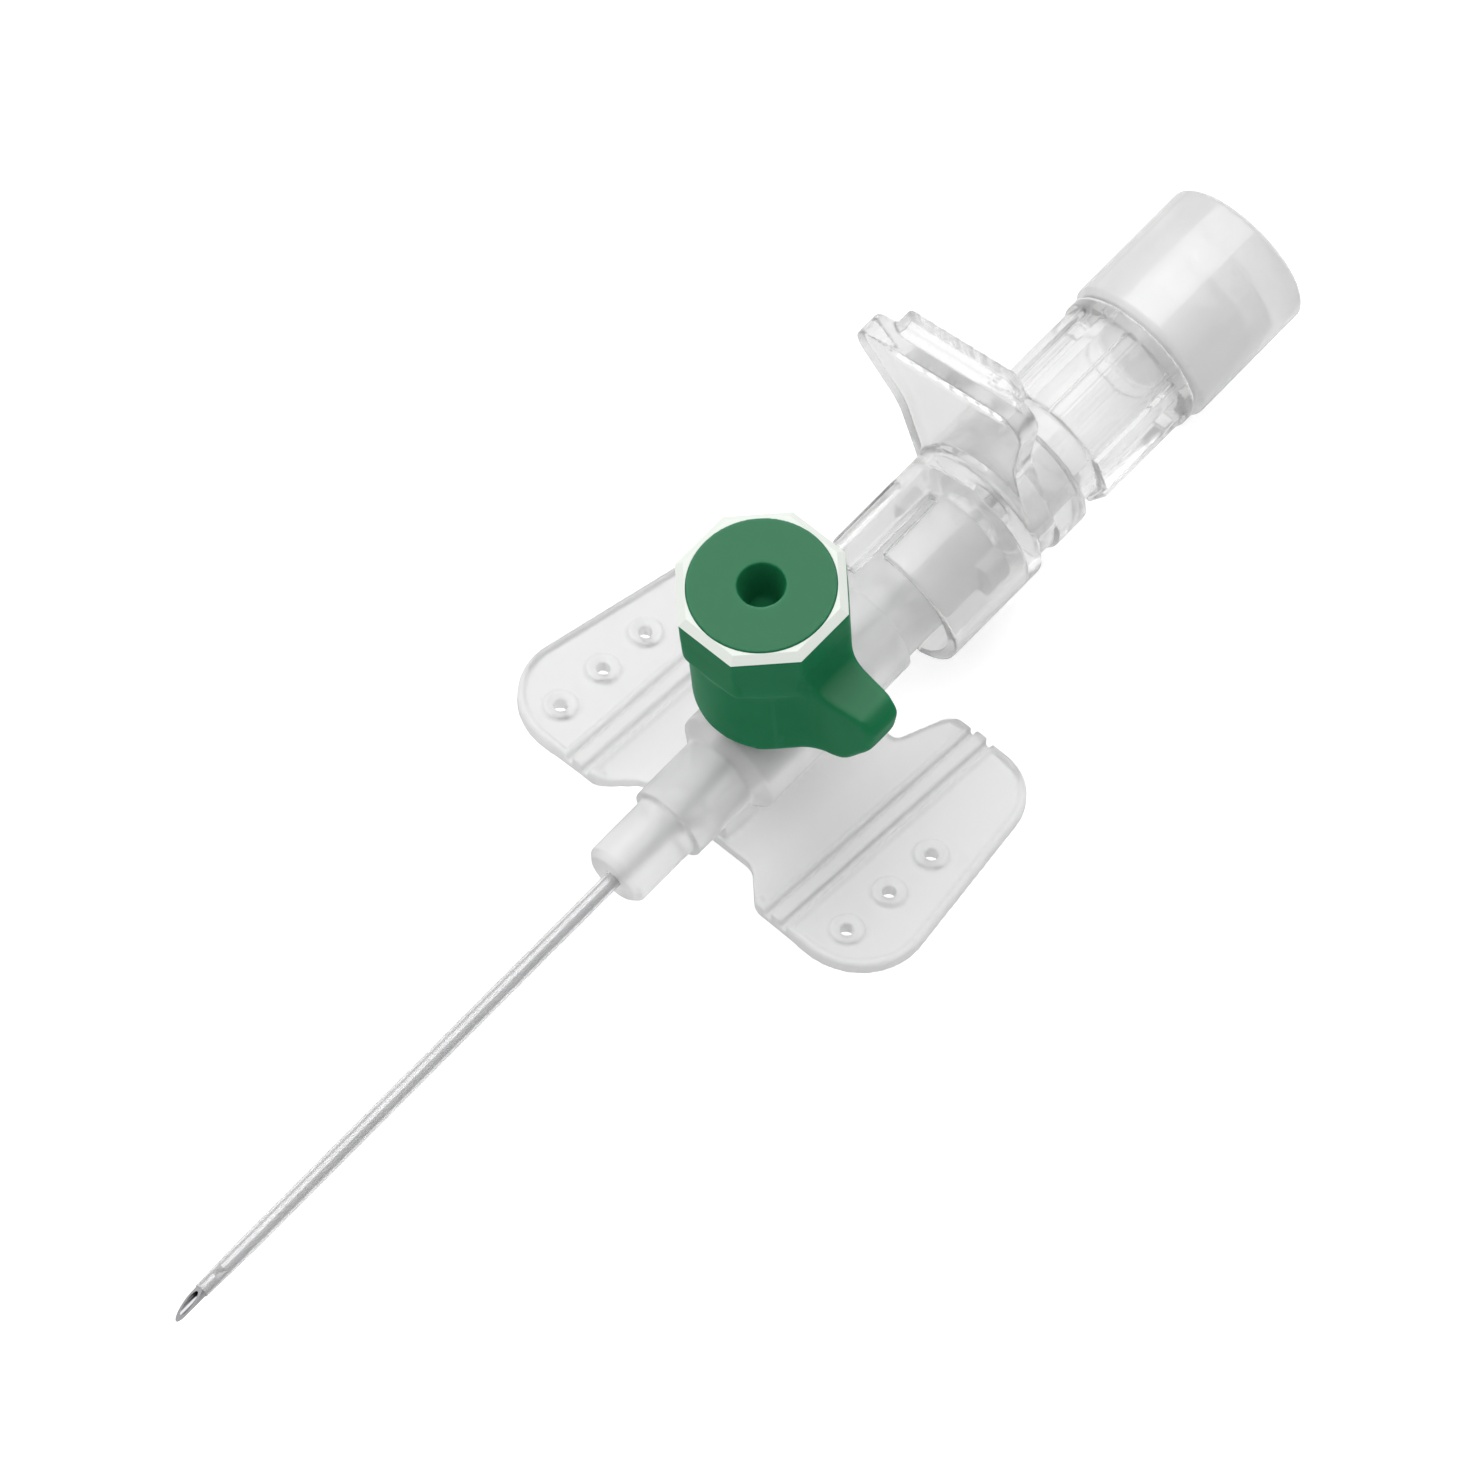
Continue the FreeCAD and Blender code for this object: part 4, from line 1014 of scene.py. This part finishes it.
@dataclass
class PortCap:
    """The green cap with its pale rim; heights in millimetres above the needle axis."""

    shop: Workshop
    voxel: float = 0.11
    passes: int = 4
    foot_height: float = 5.0
    foot_radius: float = 4.6
    foot_bead: float = 0.5
    melt_full: float = 12.4
    melt_none: float = 14.6
    melt_passes: int = 90

    def build(self) -> None:
        """Build and dress the cap."""
        centre = port_centre()
        foot = generated(
            "cap_foot", self.shop.ring_row, Ring_Radius=self.foot_radius, Bead_Radius=self.foot_bead,
            Count=1, Centre=centre / MM + Vector((0.0, 0.0, self.foot_height)),
            Material=self.shop.materials["green"])
        shell = moulded("cap_moulding", ["port_cap"], self.voxel, self.passes, (foot,))
        melt_below(
            shell, centre.z + self.melt_full * MM, centre.z + self.melt_none * MM, self.melt_passes)
        self.shop.hand_in(shell, Body.CAP, Slot.GREEN, "green", ("port_cap",))
        self.shop.finish_node("cap_rim", "pale")


@dataclass
class NeedleSet:
    """The needle and its clear hub with the finger plate; lengths in millimetres from the port axis."""

    shop: Workshop
    voxel: float = 0.13
    passes: int = 2
    ridge_count: int = 8
    ridge_pitch: float = 1.15
    ridge_size: tuple[float, float, float] = (0.4, 0.4, 2.1)
    ridge_place: tuple[float, float] = (21.96, 13.2)
    turn: float = math.radians(13.0)

    def ridges(self) -> bpy.types.Object:
        """Make the small ridges on the back of the finger plate's ledge.

        Returns:
            The ridges.
        """
        along, height = self.ridge_place
        first = -self.ridge_pitch * (self.ridge_count - 1) / 2.0
        return generated(
            "ledge_ridges", self.shop.bar_row, Size=self.ridge_size, Count=self.ridge_count,
            Start=(along, first, height), Pitch=(0.0, self.ridge_pitch, 0.0),
            Turn=(-self.turn, 0.0, 0.0), Centre=port_centre() / MM,
            Material=self.shop.materials["clear"])

    def build(self) -> None:
        """Build and dress the needle set."""
        hub = moulded("needle_moulding", ["needle_hub"], self.voxel, self.passes, (self.ridges(),))
        self.shop.hand_in(hub, Body.NEEDLE_SET, Slot.CLEAR, "clear", ("needle_hub",))
        self.shop.finish_node("needle", "steel")


@dataclass
class FlashPlug:
    """The vented plug with its ribbed grip; lengths in millimetres from the port axis."""

    shop: Workshop
    voxel: float = 0.12
    passes: int = 2
    grip_front: float = 25.5
    grip_back: float = 32.8
    groove_count: int = 8
    bar_radius: float = 4.55
    bar_width: float = 0.26
    bar_height: float = 0.5
    turn: float = math.radians(13.0)

    def groove_bars(self) -> bpy.types.Object:
        """Make the thin bar that runs along the middle of each groove of the grip.

        Returns:
            The bars.
        """
        middle = Vector(((self.grip_front + self.grip_back) / 2.0, 0.0, 0.0))
        groove = self.turn + math.pi / self.groove_count
        return generated(
            "groove_bars", self.shop.bar_ring, Count=self.groove_count, Radius=self.bar_radius,
            Length=self.grip_back - self.grip_front, Width=self.bar_width, Height=self.bar_height,
            Phase=math.pi - groove, Centre=port_centre() / MM + middle,
            Material=self.shop.materials["clear"])

    def build(self) -> None:
        """Build and dress the plug."""
        plug = moulded("plug_moulding", ["flash_plug"], self.voxel, self.passes, (self.groove_bars(),))
        self.shop.hand_in(plug, Body.PLUG, Slot.CLEAR, "clear", ("flash_plug",))
        self.shop.finish_node("vent_filter", "filter")


@dataclass
class TailCap:
    """The milky cap on the end of the plug."""

    shop: Workshop
    voxel: float = 0.12
    passes: int = 2

    def build(self) -> None:
        """Build and dress the tail cap."""
        cap = moulded("tail_moulding", ["tail_cap"], self.voxel, self.passes)
        self.shop.hand_in(cap, Body.TAIL, Slot.MILKY, "tail", ("tail_cap",))


# Studio


@dataclass(frozen=True)
class Softbox:
    """A rectangular light over the object that shines straight down, in metres from the port."""

    name: str
    x_range: tuple[float, float]
    y_range: tuple[float, float]
    height: float
    power: float

    def build(self, aim: Vector) -> None:
        """Hang the light.

        Args:
            aim: The point that its ranges are measured from.
        """
        data = bpy.data.lights.new(self.name, "AREA")
        data.shape = "RECTANGLE"
        data.size = self.x_range[1] - self.x_range[0]
        data.size_y = self.y_range[1] - self.y_range[0]
        data.energy = self.power
        lamp = bpy.data.objects.new(self.name, data)
        bpy.context.scene.collection.objects.link(lamp)
        middle = Vector((sum(self.x_range) / 2.0, sum(self.y_range) / 2.0, self.height))
        lamp.location = aim + middle


@dataclass(frozen=True)
class Camera:
    """The view of the reference: where the camera looks from, and how it is rolled."""

    azimuth: float = 41.389
    elevation: float = 61.963
    roll: float = -7.128
    distance: float = 0.8
    sensor_width: float = 36.0
    near: float = 0.01
    far: float = 10.0
    frame_width: float = 0.091875
    aim_right: float = -0.0026094
    aim_up: float = -0.0012533

    def build(self, centre: Vector) -> None:
        """Place the camera.

        Args:
            centre: The point where the port axis meets the needle axis.
        """
        turn = math.radians(self.azimuth)
        rise = math.radians(self.elevation)
        roll = math.radians(self.roll)
        ahead = Vector((math.sin(turn) * math.cos(rise), math.cos(turn) * math.cos(rise), -math.sin(rise)))
        level = Vector((math.cos(turn), -math.sin(turn), 0.0))
        above = level.cross(ahead)
        right = level * math.cos(roll) + above * math.sin(roll)
        up = above * math.cos(roll) - level * math.sin(roll)
        aim = centre + right * self.aim_right + up * self.aim_up
        data = bpy.data.cameras.new("camera")
        data.sensor_width = self.sensor_width
        data.lens = self.sensor_width * self.distance / self.frame_width
        data.clip_start = self.near
        data.clip_end = self.far
        camera = bpy.data.objects.new("camera", data)
        bpy.context.scene.collection.objects.link(camera)
        turned_axes = Matrix((right, up, -ahead)).transposed().to_4x4()
        camera.matrix_world = Matrix.Translation(aim - ahead * self.distance) @ turned_axes
        bpy.context.scene.camera = camera


@dataclass
class Studio:
    """The pale floor, the world, the lamps and the camera."""

    floor_size: float = 4.0
    floor_rough: float = 0.9
    floor_grey: float = 0.8
    floor_mirrored: float = 0.85
    floor_through: float = 0.3
    floor_lift: float = 0.45
    through_lift: float = 0.74
    world_level: float = 0.5
    world_mirrored: float = 0.62
    lamps: tuple[Softbox, ...] = (
        Softbox(
            "ceiling_softbox", x_range=(-0.35, 0.63), y_range=(-0.25, 0.95), height=0.84, power=7.45),)

    def floor(self) -> None:
        """Lay the floor, which looks white and keeps the object's shadow."""
        half = self.floor_size / 2.0
        corners = [(-half, -half, 0.0), (half, -half, 0.0), (half, half, 0.0), (-half, half, 0.0)]
        mesh = bpy.data.meshes.new("floor")
        mesh.from_pydata(corners, [], [(0, 1, 2, 3)])
        floor = add_object("floor", mesh)
        made, wiring, shader = open_material("floor_finish")
        path = wiring.add("ShaderNodeLightPath")
        through = wiring.math("MULTIPLY", path.outputs["Is Transmission Ray"], self.through_lift)
        direct = wiring.math("MULTIPLY", path.outputs["Is Camera Ray"], self.floor_lift)
        lift = wiring.math("ADD", through, direct)
        tone = wiring.blend(
            path.outputs["Is Glossy Ray"], (*grey(self.floor_grey), 1.0),
            (*grey(self.floor_mirrored), 1.0))
        tone = wiring.blend(
            path.outputs["Is Transmission Ray"], tone, (*grey(self.floor_through), 1.0))
        wiring.feed(
            shader, Base_Color=tone, Roughness=self.floor_rough, Specular_IOR_Level=0.0,
            Emission_Color=(*grey(1.0), 1.0), Emission_Strength=lift)
        dress(floor, made)

    def world(self) -> None:
        """Make the world white where it is seen and softer as a light."""
        world = bpy.data.worlds.new("studio_world")
        world.use_nodes = True
        bpy.context.scene.world = world
        wiring = Wiring(world.node_tree)
        background = world.node_tree.nodes["Background"]
        path = wiring.add("ShaderNodeLightPath")
        seen = wiring.math("MAXIMUM", path.outputs["Is Camera Ray"], path.outputs["Is Transmission Ray"])
        extra = wiring.math("MULTIPLY", seen, 1.0 - self.world_level)
        mirrored = wiring.math(
            "MULTIPLY", path.outputs["Is Glossy Ray"], self.world_mirrored - self.world_level)
        strength = wiring.math("ADD", wiring.math("ADD", extra, mirrored), self.world_level)
        wiring.feed(background, Color=(*grey(1.0), 1.0), Strength=strength)

    def build(self) -> None:
        """Set up the whole studio."""
        scene = bpy.context.scene
        scene.view_settings.view_transform = "Standard"
        centre = port_centre()
        Camera().build(centre)
        self.floor()
        self.world()
        for lamp in self.lamps:
            lamp.build(centre)


def main() -> None:
    """Build the studio and every sub-assembly."""
    logging.basicConfig(level=logging.INFO, format="%(message)s")
    shelf = Shelf()
    shop = Workshop({look: finish.build(shelf) for look, finish in FINISHES.items()})
    Studio().build()
    for assembly in (Catheter(shop), PortCap(shop), NeedleSet(shop), FlashPlug(shop), TailCap(shop)):
        assembly.build()


if __name__ == "__main__":
    main()
